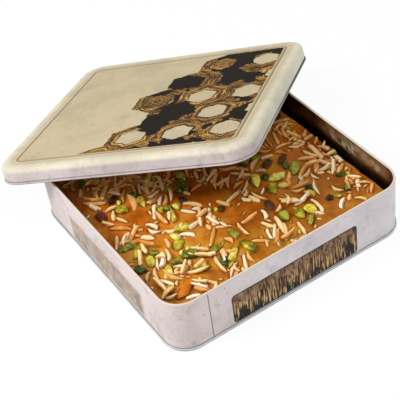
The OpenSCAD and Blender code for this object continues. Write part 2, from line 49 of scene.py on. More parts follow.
class Wire:
    # One output socket of a material. Sums and products of wires add Math nodes.
    def __init__(self, finish, socket):
        self.finish = finish
        self.socket = socket

    def math(self, operation, *values):
        return self.finish.node("ShaderNodeMath", {"operation": operation}, (self, *values))

    def __add__(self, other):
        return self.math("ADD", other)

    def __sub__(self, other):
        return self.math("SUBTRACT", other)

    def __rsub__(self, other):
        return (self * -1.0).math("ADD", other)

    def __mul__(self, other):
        return self.math("MULTIPLY", other)

    def __truediv__(self, other):
        return self.math("DIVIDE", other)

    def __pow__(self, other):
        return self.math("POWER", other)

    __radd__ = __add__
    __rmul__ = __mul__

    def size(self):
        return self.math("ABSOLUTE")

    def least(self, other):
        return self.math("MINIMUM", other)

    def most(self, other):
        return self.math("MAXIMUM", other)

    def over(self, start, end):
        # 0 below start, 1 above end, smooth between; it falls where start is above end
        if start > end:
            return 1 - self.over(end, start)
        return self.finish.node("ShaderNodeMapRange", {"interpolation_type": "SMOOTHSTEP", "clamp": True},
                                {"Value": self, "From Min": start, "From Max": end})


class Finish:
    # A material, or the world, being built. node() makes any node, settings first and then its inputs.
    def __init__(self, name, tree=None):
        if tree is None:
            self.material = bpy.data.materials.new(name)
            self.material.use_nodes = True
            tree = self.material.node_tree
        self.tree = tree
        self.tree.nodes.clear()

    def node(self, kind, settings=None, values=(), out=0):
        made = self.tree.nodes.new(kind)
        for name, value in (settings or {}).items():
            if name == "stops":
                self.setStops(made.color_ramp, value)
            else:
                setattr(made, name, value)
        pairs = values.items() if isinstance(values, dict) else enumerate(values)
        for name, value in pairs:
            if isinstance(value, Wire):
                self.tree.links.new(value.socket, made.inputs[name])
            else:
                made.inputs[name].default_value = value
        return Wire(self, made.outputs[out])

    def setStops(self, ramp, stops):
        while len(ramp.elements) < len(stops):
            ramp.elements.new(1)
        for element, (place, colour) in zip(ramp.elements, stops):
            element.position = place
            element.color = (*colour, 1)

    def mix(self, share, first, second, blend="MIX"):
        first = (*first, 1) if isinstance(first, tuple) else first
        second = (*second, 1) if isinstance(second, tuple) else second
        return self.node("ShaderNodeMix", {"data_type": "RGBA", "blend_type": blend},
                         {0: share, 6: first, 7: second}, out=2)

    def ramp(self, value, stops):
        return self.node("ShaderNodeValToRGB", {"stops": stops}, {"Fac": value})

    def place(self):
        return self.node("ShaderNodeTexCoord", out="Object")

    def shifted(self, vector, location=(0, 0, 0), rotation=(0, 0, 0), kind="POINT"):
        return self.node("ShaderNodeMapping", {"vector_type": kind},
                         {"Vector": vector, "Location": location, "Rotation": rotation})

    def parts(self, vector):
        split = self.node("ShaderNodeSeparateXYZ", None, {"Vector": vector}).socket.node
        return [Wire(self, split.outputs[i]) for i in range(3)]

    def joined(self, x, y, z=0.0):
        return self.node("ShaderNodeCombineXYZ", None, (x, y, z))

    def noise(self, vector, scale, detail=3.0, rough=0.5, distortion=0.0):
        return self.node("ShaderNodeTexNoise", {"noise_dimensions": "3D"},
                         {"Vector": vector, "Scale": scale, "Detail": detail, "Roughness": rough,
                          "Distortion": distortion})

    def dots(self, vector, scale, radius):
        # Sparse round dots: 1 inside a dot
        far = self.node("ShaderNodeTexVoronoi", {"feature": "F1"}, {"Vector": vector, "Scale": scale})
        return far.over(radius, radius * 0.6)

    def attribute(self, name):
        return self.node("ShaderNodeAttribute", {"attribute_name": name}, out="Fac")

    def bump(self, height, distance):
        return self.node("ShaderNodeBump", None, {"Height": height, "Distance": distance})

    def surface(self, **inputs):
        shader = self.node("ShaderNodeBsdfPrincipled", None,
                           {name.replace("_", " "): value for name, value in inputs.items()})
        return self.shownBy(shader)

    def shownBy(self, shader, kind="ShaderNodeOutputMaterial"):
        made = self.tree.nodes.new(kind)
        self.tree.links.new(shader.socket, made.inputs["Surface"])
        return getattr(self, "material", None)


def give(obj, material):
    obj.data.materials.clear()
    obj.data.materials.append(material)
    for face in obj.data.polygons:
        face.material_index = 0


def newObject(name, data):
    obj = bpy.data.objects.new(name, data)
    bpy.context.scene.collection.objects.link(obj)
    return obj


def addObject(name, points, faces, smooth=True):
    mesh = bpy.data.meshes.new(name)
    mesh.from_pydata([tuple(point) for point in points], [], [tuple(face) for face in faces])
    mesh.validate()
    mesh.update()
    mesh.polygons.foreach_set("use_smooth", [smooth] * len(mesh.polygons))
    return newObject(name, mesh)


def scaled(colour, share):
    return tuple(c * share for c in colour)


viewpoint = {
    "azimuth": 62.522,        # degrees, from the front towards the right
    "elevation": 42.125,
    "roll": -9.012,
    "distance": 907.173 * mm,
    "target": (-1.406 * mm, -14.404 * mm, 25.5 * mm),
    "lens": 99.12,            # on a sensor that is so wide, both in mm
    "sensor": 36,
    "nearest": 10 * mm,
}


def addCamera(v):
    a, e, r = (math.radians(v[k]) for k in ("azimuth", "elevation", "roll"))
    back = Vector((math.sin(a) * math.cos(e), -math.cos(a) * math.cos(e), math.sin(e)))
    right = (-back).cross(Vector((0, 0, 1))).normalized()
    up = right.cross(-back)
    data = bpy.data.cameras.new("camera")
    data.lens = v["lens"]
    data.sensor_width = v["sensor"]
    data.clip_start = v["nearest"]
    camera = newObject("camera", data)
    turned = Matrix((right * math.cos(r) + up * math.sin(r),
                     up * math.cos(r) - right * math.sin(r), back)).transposed()
    camera.matrix_world = Matrix.Translation(Vector(v["target"]) + back * v["distance"]) @ turned.to_4x4()
    bpy.context.scene.camera = camera


# A name that ends in Fade holds the two values that a soft edge runs between
lighting = {
    "world": 0.54,            # plain light from all round
    # Lamps: name, place, what it aims at, width, all in metres, and watts
    "lamps": (("topLamp", (0.5, 0.0, 1.2), (0, 0, 0.03), 0.6, 4.2),
              ("leftLamp", (-0.26, -1.115, 1.2), (0, 0, 0.03), 0.42, 16.6),
              ("lowLamp", (0.5, 1.35, 0.22), (0, 0, 0.05), 0.3, 3.0)),
    "floorHalf": 3.0,
    "floorLevel": -0.05 * mm,
    "floorShadow": 0.08,      # how much of the floor's shading the view shows
    "shadowFade": (0.7, 0.15),              # squares of the distances over which it comes in
}


def addLamp(name, place, aim, size, watts):
    data = bpy.data.lights.new(name, "AREA")
    data.shape = "DISK"
    data.size = size
    data.energy = watts
    lamp = newObject(name, data)
    lamp.location = place
    lamp.rotation_euler = (Vector(aim) - Vector(place)).to_track_quat("-Z", "Y").to_euler()


def showsBackground(finish):
    rays = [finish.node("ShaderNodeLightPath", out=name)
            for name in ("Is Camera Ray", "Is Glossy Ray", "Is Transmission Ray")]
    return rays[0].most(rays[1]).most(rays[2])


def addSky(v):
    world = bpy.data.worlds.new("studio")
    world.use_nodes = True
    bpy.context.scene.world = world
    sky = Finish("studio", world.node_tree)
    strength = showsBackground(sky) * (1 - v["world"]) + v["world"]
    sky.shownBy(sky.node("ShaderNodeBackground", None, {"Color": (1, 1, 1, 1), "Strength": strength}),
                "ShaderNodeOutputWorld")


def addFloor(v):
    corners = [(a * v["floorHalf"], b * v["floorHalf"], v["floorLevel"])
               for a, b in ((-1, -1), (1, -1), (1, 1), (-1, 1))]
    floor = addObject("floor", corners, [(0, 1, 2, 3)], smooth=False)
    white = Finish("floorWhite")
    matt = white.node("ShaderNodeBsdfDiffuse", None, {"Color": (0.9, 0.9, 0.9, 1)})
    glow = white.node("ShaderNodeEmission", None, {"Color": (1, 1, 1, 1), "Strength": 1.0})
    x, y = white.parts(white.place())[:2]
    near = (x * x + y * y).over(*v["shadowFade"])
    share = showsBackground(white) * (1 - near * v["floorShadow"])
    white.shownBy(white.node("ShaderNodeMixShader", None, {0: share, 1: matt, 2: glow}))
    give(floor, white.material)


addCamera(viewpoint)
addSky(lighting)
addFloor(lighting)
for row in lighting["lamps"]:
    addLamp(*row)
bpy.context.scene.view_settings.view_transform = "Standard"
print("camera, lamps and floor made")

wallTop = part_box("side_wall")[1]
tin = {
    "half": wallTop.x,
    "corner": 20.5 * mm,
    "sheet": 0.35 * mm,
    "lidGap": 0.85 * mm,      # between the wall and the lid's skirt
    "skinFade": (-0.26 * mm, -0.12 * mm),   # through the sheet, from its bare face to its printed one
    "rimFade": (wallTop.z - 1.8 * mm, wallTop.z - 1.3 * mm),
    "footFade": (3.25 * mm, 2.95 * mm),     # grey line above the base's rolled edge
    "seamAt": -78.5 * mm,
    "seamFade": (0.55 * mm, 0.2 * mm),
    "seamSideFade": (100 * mm, 105 * mm),   # only the right wall has the seam
    "warmFade": (10 * mm, -112 * mm),       # the print is warmer towards the front
    "warmTint": (0.94, 0.85, 0.78),
    "wallColour": (0.705, 0.66, 0.68),
    "rimColour": (0.64, 0.56, 0.49),
    "footColour": (0.16, 0.155, 0.16),
    "solder": (0.08, 0.07, 0.065),
    "bareColour": (0.6, 0.58, 0.5),
    "char": (0.011, 0.008, 0.005),
    "woods": ((0.02, 0.013, 0.009), (0.12, 0.05, 0.016), (0.32, 0.16, 0.04), (0.72, 0.47, 0.13)),
}

label = {
    "half": 59.5 * mm,
    "low": 3.6 * mm,
    "high": 33 * mm,
    "corner": 3.5 * mm,
    "shift": 4.5 * mm,        # the front and back labels sit nearer the right corner
    "rough": 0.9 * mm,        # how far its edge wanders
    "edgeFade": (0.25 * mm, -0.25 * mm),
    "wornFade": (0.5 * mm, -5 * mm),        # front and back ones are worn along their edges
    "frameFade": (-1.5 * mm, -0.8 * mm),
    "washFade": (19 * mm, 24 * mm),         # above this the strokes are washed over
    "washWander": 30 * mm,
    "massTop": 10 * mm,       # the dark mass along the feet of the strokes
    "massSwing": 62 * mm,     # how far its top swings broadly
    "massRipple": 18 * mm,    # and finely
    "massFade": (-0.6 * mm, 1.2 * mm),
    "inks": ((0.1, 0.045, 0.02), (0.3, 0.17, 0.07), (0.6, 0.44, 0.2)),
    "wash": ((0.04, 0.018, 0.012), (0.32, 0.17, 0.105)),
    "paleInk": (0.6, 0.51, 0.46),
}

inside = {
    "leftShadowFade": (26 * mm, -10 * mm),        # painted shadow: the left part of the inside is darkened, as under the lid
    "leftShadowWander": 40 * mm,
    "glintLowFade": (32 * mm, 36 * mm),     # the glints lie between these heights
    "glintHighFade": (45.5 * mm, 41 * mm),
    "glintWander": 14 * mm,
    "cornerFade": (200 * mm, 180 * mm),     # no glints in the far right corner, as x + y
    "cornerShadeFade": (178 * mm, 204 * mm),      # and that corner is painted darker, as shade
    "shadeUnderRimFade": (45.5 * mm, 48 * mm),    # painted shade: dark strips under the rim's curl and below the glints
    "shadeLowFade": (38 * mm, 31 * mm),
    "glints": ((0.66, 0.49, 0.26), (0.4, 0.16, 0.06), (0.2, 0.25, 0.07)),
}


def stoneGround(f, point, colour, marks=0.55):
    # Pale print with soft blotches, grey marks, fine grain and a few dark specks
    blotch = f.noise(point, 30, 4, 0.62).over(0.38, 0.66)
    grain = f.noise(point, 480, 3, 0.7).over(0.35, 0.7)
    smudge = f.noise(f.shifted(point, (0.3, 0.1, 0.7)), 56, 5, 0.78).over(0.52, 0.68)
    grey = tuple(c * k for c, k in zip(colour, (0.5, 0.53, 0.57)))
    made = f.mix(blotch * 0.62 + grain * 0.3, colour, scaled(colour, 0.8))
    made = f.mix(smudge * marks, made, grey)
    return f.mix(f.dots(point, 62, 0.05) * 0.85, made, scaled(colour, 0.22))


def roundRect(x, y, halfX, halfY, corner):
    # Distance from a rectangle with round corners, negative inside
    u = x.size() - (halfX - corner)
    v = y.size() - (halfY - corner)
    out = (u.most(0) ** 2 + v.most(0) ** 2) ** 0.5
    return out + u.most(v).least(0) - corner


def uprightStrokes(f, along, up, v, t):
    # Upright brush strokes in browns, ochre and black, with a dark uneven mass along their feet
    slim = f.noise(f.joined(along * 700, up * 62, 1.0), 1, 2, 0.6)
    broad = f.noise(f.joined(along * 110, up * 60, 4.0), 1, 2, 0.5)
    value = slim * 0.85 + broad * 0.35
    strokes = f.ramp(value, list(zip((0.5, 0.57, 0.63, 0.7), (t["woods"][0], *v["inks"]))))
    wash = f.noise(f.joined(along * 420, up * 150, 2.0), 1, 3, 0.7).over(0.42, 0.6)
    washed = (up + (broad - 0.5) * v["washWander"]).over(*v["washFade"])
    strokes = f.mix(washed * 0.75, strokes, f.mix(wash, *v["wash"]))
    swing = (f.noise(f.joined(along * 45, 0.0, 7.0), 1, 2, 0.5) - 0.5) * v["massSwing"]
    ripple = (f.noise(f.joined(along * 260, 0.0, 9.0), 1, 3, 0.7) - 0.5) * v["massRipple"]
    mass = (swing + ripple + v["massTop"] - up).over(*v["massFade"]) * value.over(0.71, 0.63)
    return f.mix(mass * 0.92, strokes, t["char"])


def bareTin(f, point, colour, share=1.0):
    # Unprinted tin, tarnished in patches
    tarnish = f.noise(f.shifted(point, (0.1, 0.2, 0.3)), 38, 4, 0.65, 0.6).over(0.38, 0.66)
    return f.mix(tarnish * share, colour, tuple(c * k for c, k in zip(colour, (0.4, 0.44, 0.34))))


def insideOf(f, point, v, t):
    # The wall's bare inner face with painted shadow at its left, painted shade in its far corner and in
    # strips, painted reflections (glints) of the nuts, and how strong the glints are
    x, y, z = f.parts(point)
    # Painted shadow: the inside darkens towards its left end, under the lid
    paintedLeftShadow = (x + (f.noise(point, 38, 3) - 0.5) * v["leftShadowWander"]).over(*v["leftShadowFade"])
    bare = f.mix(paintedLeftShadow * 0.93, bareTin(f, point, t["bareColour"]), t["woods"][0])
    # Painted reflections: blurred glints of the nuts, between their tops and the rim
    band = (z + (f.noise(point, 21, 2) - 0.5) * v["glintWander"]).over(*v["glintLowFade"])
    band = band * z.over(*v["glintHighFade"])
    glint = f.noise(f.joined(x * 85, y * 85, z * 75), 1, 4, 0.66).over(0.46, 0.6) * band
    glint = glint * (1 - paintedLeftShadow) * (x + y).over(*v["cornerFade"])
    # Painted shade in the far right inside corner
    bare = f.mix((x + y).over(*v["cornerShadeFade"]) * 0.8, bare, t["woods"][1])
    # Painted shade under the rim's curl and low on the wall
    paintedShade = (z.over(*v["shadeUnderRimFade"]) * 0.85).most(z.over(*v["shadeLowFade"]) * 0.75)
    bare = f.mix(paintedShade, bare, t["woods"][0])
    green, red = (f.noise(f.shifted(point, (k, 0, 0)), 46, 2).over(0.5, 0.58) for k in (0.0, 0.3))
    hue = f.mix(green, f.mix(red, *v["glints"][:2]), v["glints"][2])
    return f.mix(glint * 0.8, bare, hue), glint


def outsideOf(f, point, v, t, rim):
    # The wall's printed face with its labels, foot line, seam and rim, and where the seam is
    x, y, z = f.parts(point)
    ground = stoneGround(f, point, t["wallColour"])
    ground = f.mix(y.over(*t["warmFade"]) * 0.9, ground, t["warmTint"], "MULTIPLY")
    # The label on each side, seen along the wall and up it; front and back ones are printed paler
    onX = x.size().math("GREATER_THAN", y.size())
    along = y * onX + (x - v["shift"]) * (1 - onX)
    middle, tall = (v["low"] + v["high"]) / 2, (v["high"] - v["low"]) / 2
    edge = roundRect(along, z - middle, v["half"], tall, v["corner"])
    rough = (f.noise(point, 900, 2) - 0.5) * v["rough"]
    onLabel = (edge + rough).over(*v["edgeFade"])
    onLabel = onLabel * (onX + (1 - onX) * (edge + rough * 4).over(*v["wornFade"]))
    strokes = uprightStrokes(f, along, z, v, t)
    strokes = f.mix((edge + rough * 1.5).over(*v["frameFade"]) * 0.85, strokes, t["woods"][0])
    strokes = f.mix((1 - onX) * (f.noise(point, 40, 2) * 0.6 + 0.12), strokes, v["paleInk"])
    printed = f.mix(onLabel, ground, strokes)
    seam = (y - t["seamAt"]).size().over(*t["seamFade"]) * x.over(*t["seamSideFade"])
    printed = f.mix(seam * 0.85, printed, t["solder"])
    printed = f.mix(z.over(*t["footFade"]) * 0.6, printed, t["footColour"])
    return f.mix(rim, printed, t["rimColour"]), seam


def wallFinish(t, labels, inner):
    f = Finish("printedWall")
    point = f.place()
    x, y, z = f.parts(point)
    rim = z.over(*t["rimFade"])
    printed, seam = outsideOf(f, point, labels, t, rim)
    bare, glint = insideOf(f, point, inner, t)
    outer = roundRect(x, y, t["half"], t["half"], t["corner"]).over(*t["skinFade"]).most(rim)
    return f.surface(Base_Color=f.mix(outer, bare, printed), Metallic=(1 - outer) * (1 - glint * 0.7),
                     Roughness=outer * 0.16 + 0.28 + f.noise(point, 30, 3) * 0.08,
                     Normal=f.bump(f.noise(point, 260, 2) * 0.25 - seam, 0.12 * mm),
                     Specular_IOR_Level=0.1, Coat_Weight=outer * 0.04, Coat_Roughness=0.3)


base = {
    "creaseAt": 1.5 * mm,     # dark line round the middle of the roll
    "creaseFade": (0.5 * mm, 0.25 * mm),
    "topFade": (2.5 * mm, 2.8 * mm),        # dark line where the roll meets the wall
    "colours": ((0.74, 0.75, 0.76), (0.58, 0.59, 0.61)),
    "creaseColour": (0.15, 0.15, 0.155),
}


def baseFinish(v):
    f = Finish("rolledBase")
    point = f.place()
    z = f.parts(point)[2]
    colour = f.mix(f.noise(point, 60, 4, 0.6).over(0.35, 0.7), *v["colours"])
    crease = (z - v["creaseAt"]).size().over(*v["creaseFade"]).most(z.over(*v["topFade"]))
    colour = f.mix(crease * 0.7, colour, v["creaseColour"])
    return f.surface(Base_Color=colour, Metallic=0.3, Roughness=f.noise(point, 90, 3) * 0.2 + 0.28,
                     Normal=f.bump(f.noise(point, 300, 2), 0.08 * mm))


lid = {
    "middle": (-94.82 * mm, 9.9 * mm, 45.655 * mm),
    "turn": 42.4,             # degrees round the vertical
    "lean": 17.12,            # and down behind the tin
    "roll": 2.5,
    "half": tin["half"] + tin["lidGap"] + tin["sheet"],
    "corner": tin["corner"] + tin["lidGap"] + tin["sheet"],
    "lineAt": -14.5 * mm,     # the pressed line, from the lid's edge inwards
    "lineFade": (2.1 * mm, 0.5 * mm),
    "marginAt": -12.8 * mm,   # paler margin just outside the line
    "marginFade": (1.0 * mm, 0.3 * mm),
    "shoulderFade": (-11.5 * mm, -5 * mm),
    "panelFade": (-16.5 * mm, -17.5 * mm),
    "skirtFade": (12 * mm, 8.5 * mm),
    "litSideFade": (-12 * mm, -3 * mm),        # from half: one side of the skirt is painted lighter and yellower, as painted light from that side
    "litSideNearFade": (-100 * mm, -55 * mm),  # but not at its near end
    "hemTop": 2.2 * mm,
    "hemFade": (0.6 * mm, 0.25 * mm),
    "hemFootFade": (1.0 * mm, 0.6 * mm),
    "hemShadeFade": (2.2 * mm, 1.6 * mm),
    "hemShadeAlongFade": (-80 * mm, 60 * mm),   # the painted shade along the hem grows towards the far end
    "innerFade": (-0.2 * mm, -0.32 * mm),
    "innerTopFade": (10.1 * mm, 9.8 * mm),
    "innerHemFade": (3.2 * mm, 3.8 * mm),
    "cell": 41 * mm,          # from one flat side of a honeycomb cell to the other
    "beam": 0.54,             # where a cell's window ends and its beams start
    "ragged": 7 * mm,
    "artFrom": -3 * mm,       # the honeycomb starts here
    "colour": (0.565, 0.47, 0.305),
    "shoulderColour": (0.728, 0.682, 0.541),
    "lineColour": (0.25, 0.175, 0.085),
    "marginColour": (0.78, 0.72, 0.6),
    "litSideTint": (1.12, 1.25, 1.03),
    "hemShadeColour": (0.1, 0.09, 0.085),
    "rust": (0.3, 0.1, 0.03),
    "ash": (0.03, 0.018, 0.01),
}


def lidTurn(v):
    turns = [Matrix.Rotation(math.radians(angle), 3, axis)
             for angle, axis in ((-v["roll"], "X"), (-v["lean"], "Y"), (v["turn"], "Z"))]
    return (turns[0] @ turns[1] @ turns[2]).to_euler("XYZ")


def honeycomb(x, y, cell):
    # In the nearest six-sided cell: how far out (1 at its flat sides), how far along that side,
    # and its middle
    wide, tall = cell, cell * math.sqrt(3)

    def lattice(shiftX, shiftY):
        u = (x + shiftX).math("FLOORED_MODULO", wide) - wide / 2
        w = (y + shiftY).math("FLOORED_MODULO", tall) - tall / 2
        return u, w

    u1, w1 = lattice(0, 0)
    u2, w2 = lattice(wide / 2, tall / 2)
    pick = (u1 * u1 + w1 * w1).math("LESS_THAN", u2 * u2 + w2 * w2)
    u = u1 * pick + u2 * (1 - pick)
    w = w1 * pick + w2 * (1 - pick)
    a, b = u.size(), w.size()
    slant = a * 0.5 + b * (math.sqrt(3) / 2)
    upright = a.math("GREATER_THAN", slant)
    along = w * upright + (a * (math.sqrt(3) / 2) - b * 0.5) * (1 - upright)
    return a.most(slant) / (cell / 2), along, x - u, y - w


def beamPrint(f, local, v, t):
    # Generic design: a honeycomb of rough old beams, some of its cells filled. Gives its colour,
    # where it is shown, and how far its edges wander.
    x, y = f.parts(local)[:2]
    ragged = [(f.noise(f.shifted(local, (k, 0.2, 0.1)), 130, 4, 0.72) - 0.5) * v["ragged"]
              for k in (0.0, 0.5)]
    far, along, cx, cy = honeycomb(x + ragged[0], y + ragged[1], v["cell"])
    cellNumber = f.joined(*[(c / (v["cell"] / 2)).math("ROUND") for c in (cx, cy / math.sqrt(3))])
    chance = f.node("ShaderNodeTexWhiteNoise", {"noise_dimensions": "2D"}, {"Vector": cellNumber})
    grain = f.noise(f.joined(along * 50, far * 17, chance * 7), 1, 4, 0.72)
    patch = f.noise(f.shifted(local, (0.2, 0.4, 0.6)), 21, 3, 0.6)
    wood = f.ramp(grain * 0.85 + patch * 0.2, list(zip((0.45, 0.5, 0.555, 0.615), t["woods"])))
    rust = f.mix(grain.over(0.42, 0.62), scaled(t["woods"][1], 0.4), v["rust"])
    wood = f.mix(patch.over(0.5, 0.56) * 0.75, wood, rust)
    char = f.mix(grain.over(0.55, 0.72), t["char"], v["ash"])
    beam = far.over(v["beam"], v["beam"] + 0.03)
    outline = far.over(v["beam"] + 0.1, v["beam"] + 0.05).most(far.over(0.985, 0.995) * 0.7)
    beams = f.mix((patch + chance * 0.12).over(0.555, 0.57), wood, char)
    beams = f.mix(outline * 0.85, beams, t["char"])
    cells = f.mix(chance.math("GREATER_THAN", 0.8), t["char"], wood)
    reach = (cx - cy * 0.25).math("GREATER_THAN", v["artFrom"])
    return f.mix(beam, cells, beams), reach * beam.most(chance.math("GREATER_THAN", 0.58)), ragged[0]


def lidFinish(v, t):
    f = Finish("printedLid")
    local = f.shifted(f.place(), v["middle"], lidTurn(v), "TEXTURE")
    x, y, z = f.parts(local)
    ground = stoneGround(f, local, v["colour"], 0.22)
    edge = roundRect(x, y, v["half"], v["half"], v["corner"])
    colour = f.mix(edge.over(*v["shoulderFade"]) * 0.8, ground,
                   stoneGround(f, local, v["shoulderColour"], 0.35))
    art, inArt, ragged = beamPrint(f, local, v, t)
    inPanel = (edge + ragged * 0.3).over(*v["panelFade"])
    colour = f.mix(inArt * inPanel, colour, art)
    # The panel's groove is coloured darker, with a paler margin outside it
    line = (edge - v["lineAt"]).size().over(*v["lineFade"])
    colour = f.mix(line * 0.72, colour, v["lineColour"])
    margin = (edge - v["marginAt"]).size().over(*v["marginFade"])
    colour = f.mix(margin * 0.35, colour, v["marginColour"])
    skirtPrint = f.mix(0.7, stoneGround(f, local, scaled(t["wallColour"], 0.88)), t["warmTint"], "MULTIPLY")
    # One side of the skirt is painted lighter and yellower, as painted light, and its hem gets painted
    # shade, most of all at its far end
    side = x.over(*(v["half"] + c for c in v["litSideFade"])) * y.over(*v["litSideNearFade"])
    skirtPrint = f.mix(side, skirtPrint, v["litSideTint"], "MULTIPLY")
    colour = f.mix(z.over(*v["skirtFade"]), colour, skirtPrint)
    # Painted shade: dark lines along the hem's creases, heavier on the lit side
    crease = (z - v["hemTop"]).size().over(*v["hemFade"]).most(z.over(*v["hemFootFade"]))
    crease = crease.most(side * y.over(*v["hemShadeAlongFade"]) * z.over(*v["hemShadeFade"]))
    colour = f.mix(crease * (side * 0.3 + 0.6), colour, v["hemShadeColour"])
    # The sheet's inner face is bare
    bare = edge.over(*v["innerFade"]) * z.over(*v["innerTopFade"])
    normal = f.shifted(f.node("ShaderNodeTexCoord", out="Normal"), (0, 0, 0), lidTurn(v), "TEXTURE")
    bare = bare.most(f.parts(normal)[2].over(-0.05, -0.2) * z.over(*v["innerHemFade"]))
    colour = f.mix(bare, colour, bareTin(f, local, t["bareColour"], 0.35))
    return f.surface(Base_Color=colour, Metallic=bare, Roughness=f.noise(local, 30, 3) * 0.08 + 0.46,
                     Normal=f.bump(f.noise(local, 260, 2), 0.06 * mm), Specular_IOR_Level=0.02)


give(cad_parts["side_wall"], wallFinish(tin, label, inside))
give(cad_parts["base_plate"], baseFinish(base))
give(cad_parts["lid"], lidFinish(lid, tin))
print("tinplate finished")

sweets = {
    "body": "tin",
    "glaze": 0.7 * mm,        # the caramel stands this much higher than its CAD solid
    "seed": 8,
    # Loose bits in the order of laying: kind and how many, then length, width and height in mm
    "bits": (("sliver", 68, (11, 20), (2.9, 3.7), (1.8, 2.4)),
             ("greens", 24, (3.5, 6.5), (2.4, 3.8), (1.8, 2.6)),
             ("chips", 80, (3.5, 8), (1.8, 3.2), (1.2, 2.0)),
             ("crumbs", 90, (1.2, 2.8), (0.9, 1.8), (0.8, 1.4)),
             ("heaped", 55, (4, 15), (2.0, 3.3), (1.3, 2.1))),
    "tries": 60,              # for each bit
    "reach": 102.5 * mm,      # how far from the middle loose bits lie
    "heldShare": 0.35,        # share of a bit's length that stays within the reach
    "beside": (3, 8),         # how far from a nut's middle bits are tried, in mm
    "onTop": (0.5, 3),        # and heaped ones
    "besideLean": 0.06,       # radians
    "onTopLean": 0.2,
    "onTopRise": 1.5 * mm,    # from the middle of the nut below
    "apart": -0.45 * mm,      # gap to a bit's neighbours; below zero they may press together
    "sunk": 0.25,             # share of a bit that the caramel covers
    "chipLong": 7 * mm,       # shorter slivers count as chips
    "toastedShare": 0.62,     # share of the longer ones that are toasted
    "crescentWide": 4.2 * mm,               # broader toasted slivers are crescents
    "swell": 1.0,             # makes every nut larger or smaller
    # Patches of bare caramel: middle and radius, in mm
    "bare": ((2, -7, 13), (-16, -68, 9), (-1, -52, 8), (32, -11, 7), (50, 5, 9), (84, -10, 9),
             (80, -55, 8), (56, 76, 10), (86, 83, 10), (47, -24, 6), (78, 45, 8), (-40, 20, 12),
             (20, 60, 7), (70, 60, 7), (40, 30, 6), (0, -42, 7), (20, 78, 8), (12, 37, 6),
             (27, 7, 6), (51, 46, 5), (-25, -15, 5)),
    "bareMargin": 3,
    # Patches where most of the loose bits fall
    "dense": ((-30, 90, 10), (-10, 90, 9), (-62, -66, 18), (-43, -37, 15), (-32, -16, 12),
              (-12, 8, 13), (34, 94, 9), (69, 91, 9), (20, 97, 9), (80, -36, 9), (48, -57, 8),
              (87, -68, 9), (95, 20, 8), (94, -12, 9), (37, -18, 8), (49, 40, 7), (45, -78, 7),
              (60, -70, 8)),
    "denseShare": 0.62,       # share of the loose bits laid next to nuts in a dense patch
    "patchShare": 0.35,       # share of them laid anywhere in one
}


def islandsOf(name):
    # The separate solids of a CAD node, each as its own corner points
    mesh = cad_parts[name].data
    points = np.zeros(len(mesh.vertices) * 3)
    mesh.vertices.foreach_get("co", points)
    mesh.calc_loop_triangles()
    corners = np.zeros(len(mesh.loop_triangles) * 3, int)
    mesh.loop_triangles.foreach_get("vertices", corners)
    same, ids = np.unique(np.round(points.reshape(-1, 3), 6), axis=0, return_inverse=True)
    corners = ids.reshape(-1)[corners].reshape(-1, 3)
    island = np.arange(len(same))
    while True:
        low = island[corners].min(axis=1)
        joined = island.copy()
        for k in range(3):
            np.minimum.at(joined, corners[:, k], low)
        if (joined == island).all():
            break
        island = joined
    return [same[island == k] for k in np.unique(island)]


def lieOf(points):
    # Middle, axes (along it, across it and up) and size of one nut
    middle = points.mean(axis=0)
    spread = points - middle
    along = np.linalg.svd(spread, full_matrices=False)[2][0]
    along = along if along[0] > 0 else -along
    across = np.cross((0, 0, 1), along)
    across /= np.linalg.norm(across)
    axes = np.array((along, across, np.cross(along, across)))
    reach = spread @ axes.T
    low, high = reach.min(axis=0), reach.max(axis=0)
    return middle + (low + high) / 2 @ axes, axes, high - low


nutNodes = ("cream_slivers", "toasted_slivers", "almond_chips", "pistachio_kernels", "green_pistachios",
            "dark_kernels", "caramel_lumps")
lies = {name: [lieOf(points) for points in islandsOf(name)] for name in nutNodes}
print("nuts found:", {name: len(rows) for name, rows in lies.items()})

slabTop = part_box("brittle_slab")[1].z
slab = {
    "waves": ((22, 0.9 * mm), (48, 0.45 * mm), (120, 0.16 * mm)),   # to the metre, and depth
    "wavesSeed": 3,
    "creep": 1.0 * mm,        # how far the caramel climbs at a nut
    "creepReach": 2.8 * mm,
    "creepShare": 0.4,        # share of a nut's height that it climbs at most
    "creepPower": 2.2,
    "shore": 0.45,            # share of a nut's height that the caramel reaches at most
    "shoreSlope": 0.7,        # how steeply that limit rises away from the nut
    "highest": 9 * mm,        # the caramel stays below this, above the CAD solid's top
    "lifted": 1.2 * mm,       # nuts whose foot is higher than this don't draw the caramel up
    "around": 8 * mm,         # how far round a nut the caramel is looked at
    "edge": 3.4 * mm,         # radius of the slab's upper edge
    "edgeShares": (0.3, 0.55, 0.75, 0.9, 0.97, 1.0),    # where lines cross it
    "edgeInset": 0.9 * mm,
    "edgeWaves": ((60, 0.6 * mm), (150, 0.3 * mm)),
    "edgeSeed": 5,
    # Rings down the sides: share of the height, and how far out
    "sides": ((0.72, 1.001), (0.4, 1.004), (0.12, 1.004), (0.0, 1.001)),
    "footLift": 0.05 * mm,    # of its underside, above the CAD solid's
    "cells": 190,             # lines across its flat part
}


def waves(x, y, rows, seed):
    # Seeded sum of sines in many directions, for a soft uneven surface
    random = np.random.default_rng(seed)
    total = np.zeros_like(x)
    sines, quieted = 7, 3.2   # sines for each row, and what their sum is divided by
    for frequency, depth in rows:
        for _ in range(sines):
            angle, start = random.uniform(0, 2 * math.pi, 2)
            pitch = frequency * random.uniform(0.6, 1.4) * 2 * math.pi
            distance = x * math.cos(angle) + y * math.sin(angle)
            total += depth / quieted * np.sin(distance * pitch + start)
    return total


def glazeLevel(x, y):
    return slabTop + sweets["glaze"] + waves(x, y, slab["waves"], slab["wavesSeed"])


def spine(middle, direction, long, wide):
    # Points along a bit's own line, for telling how near others lie
    core = max(long - wide, 0) / 2
    return middle[:2] + np.linspace(-core, core, 5)[:, None] * direction[:2]


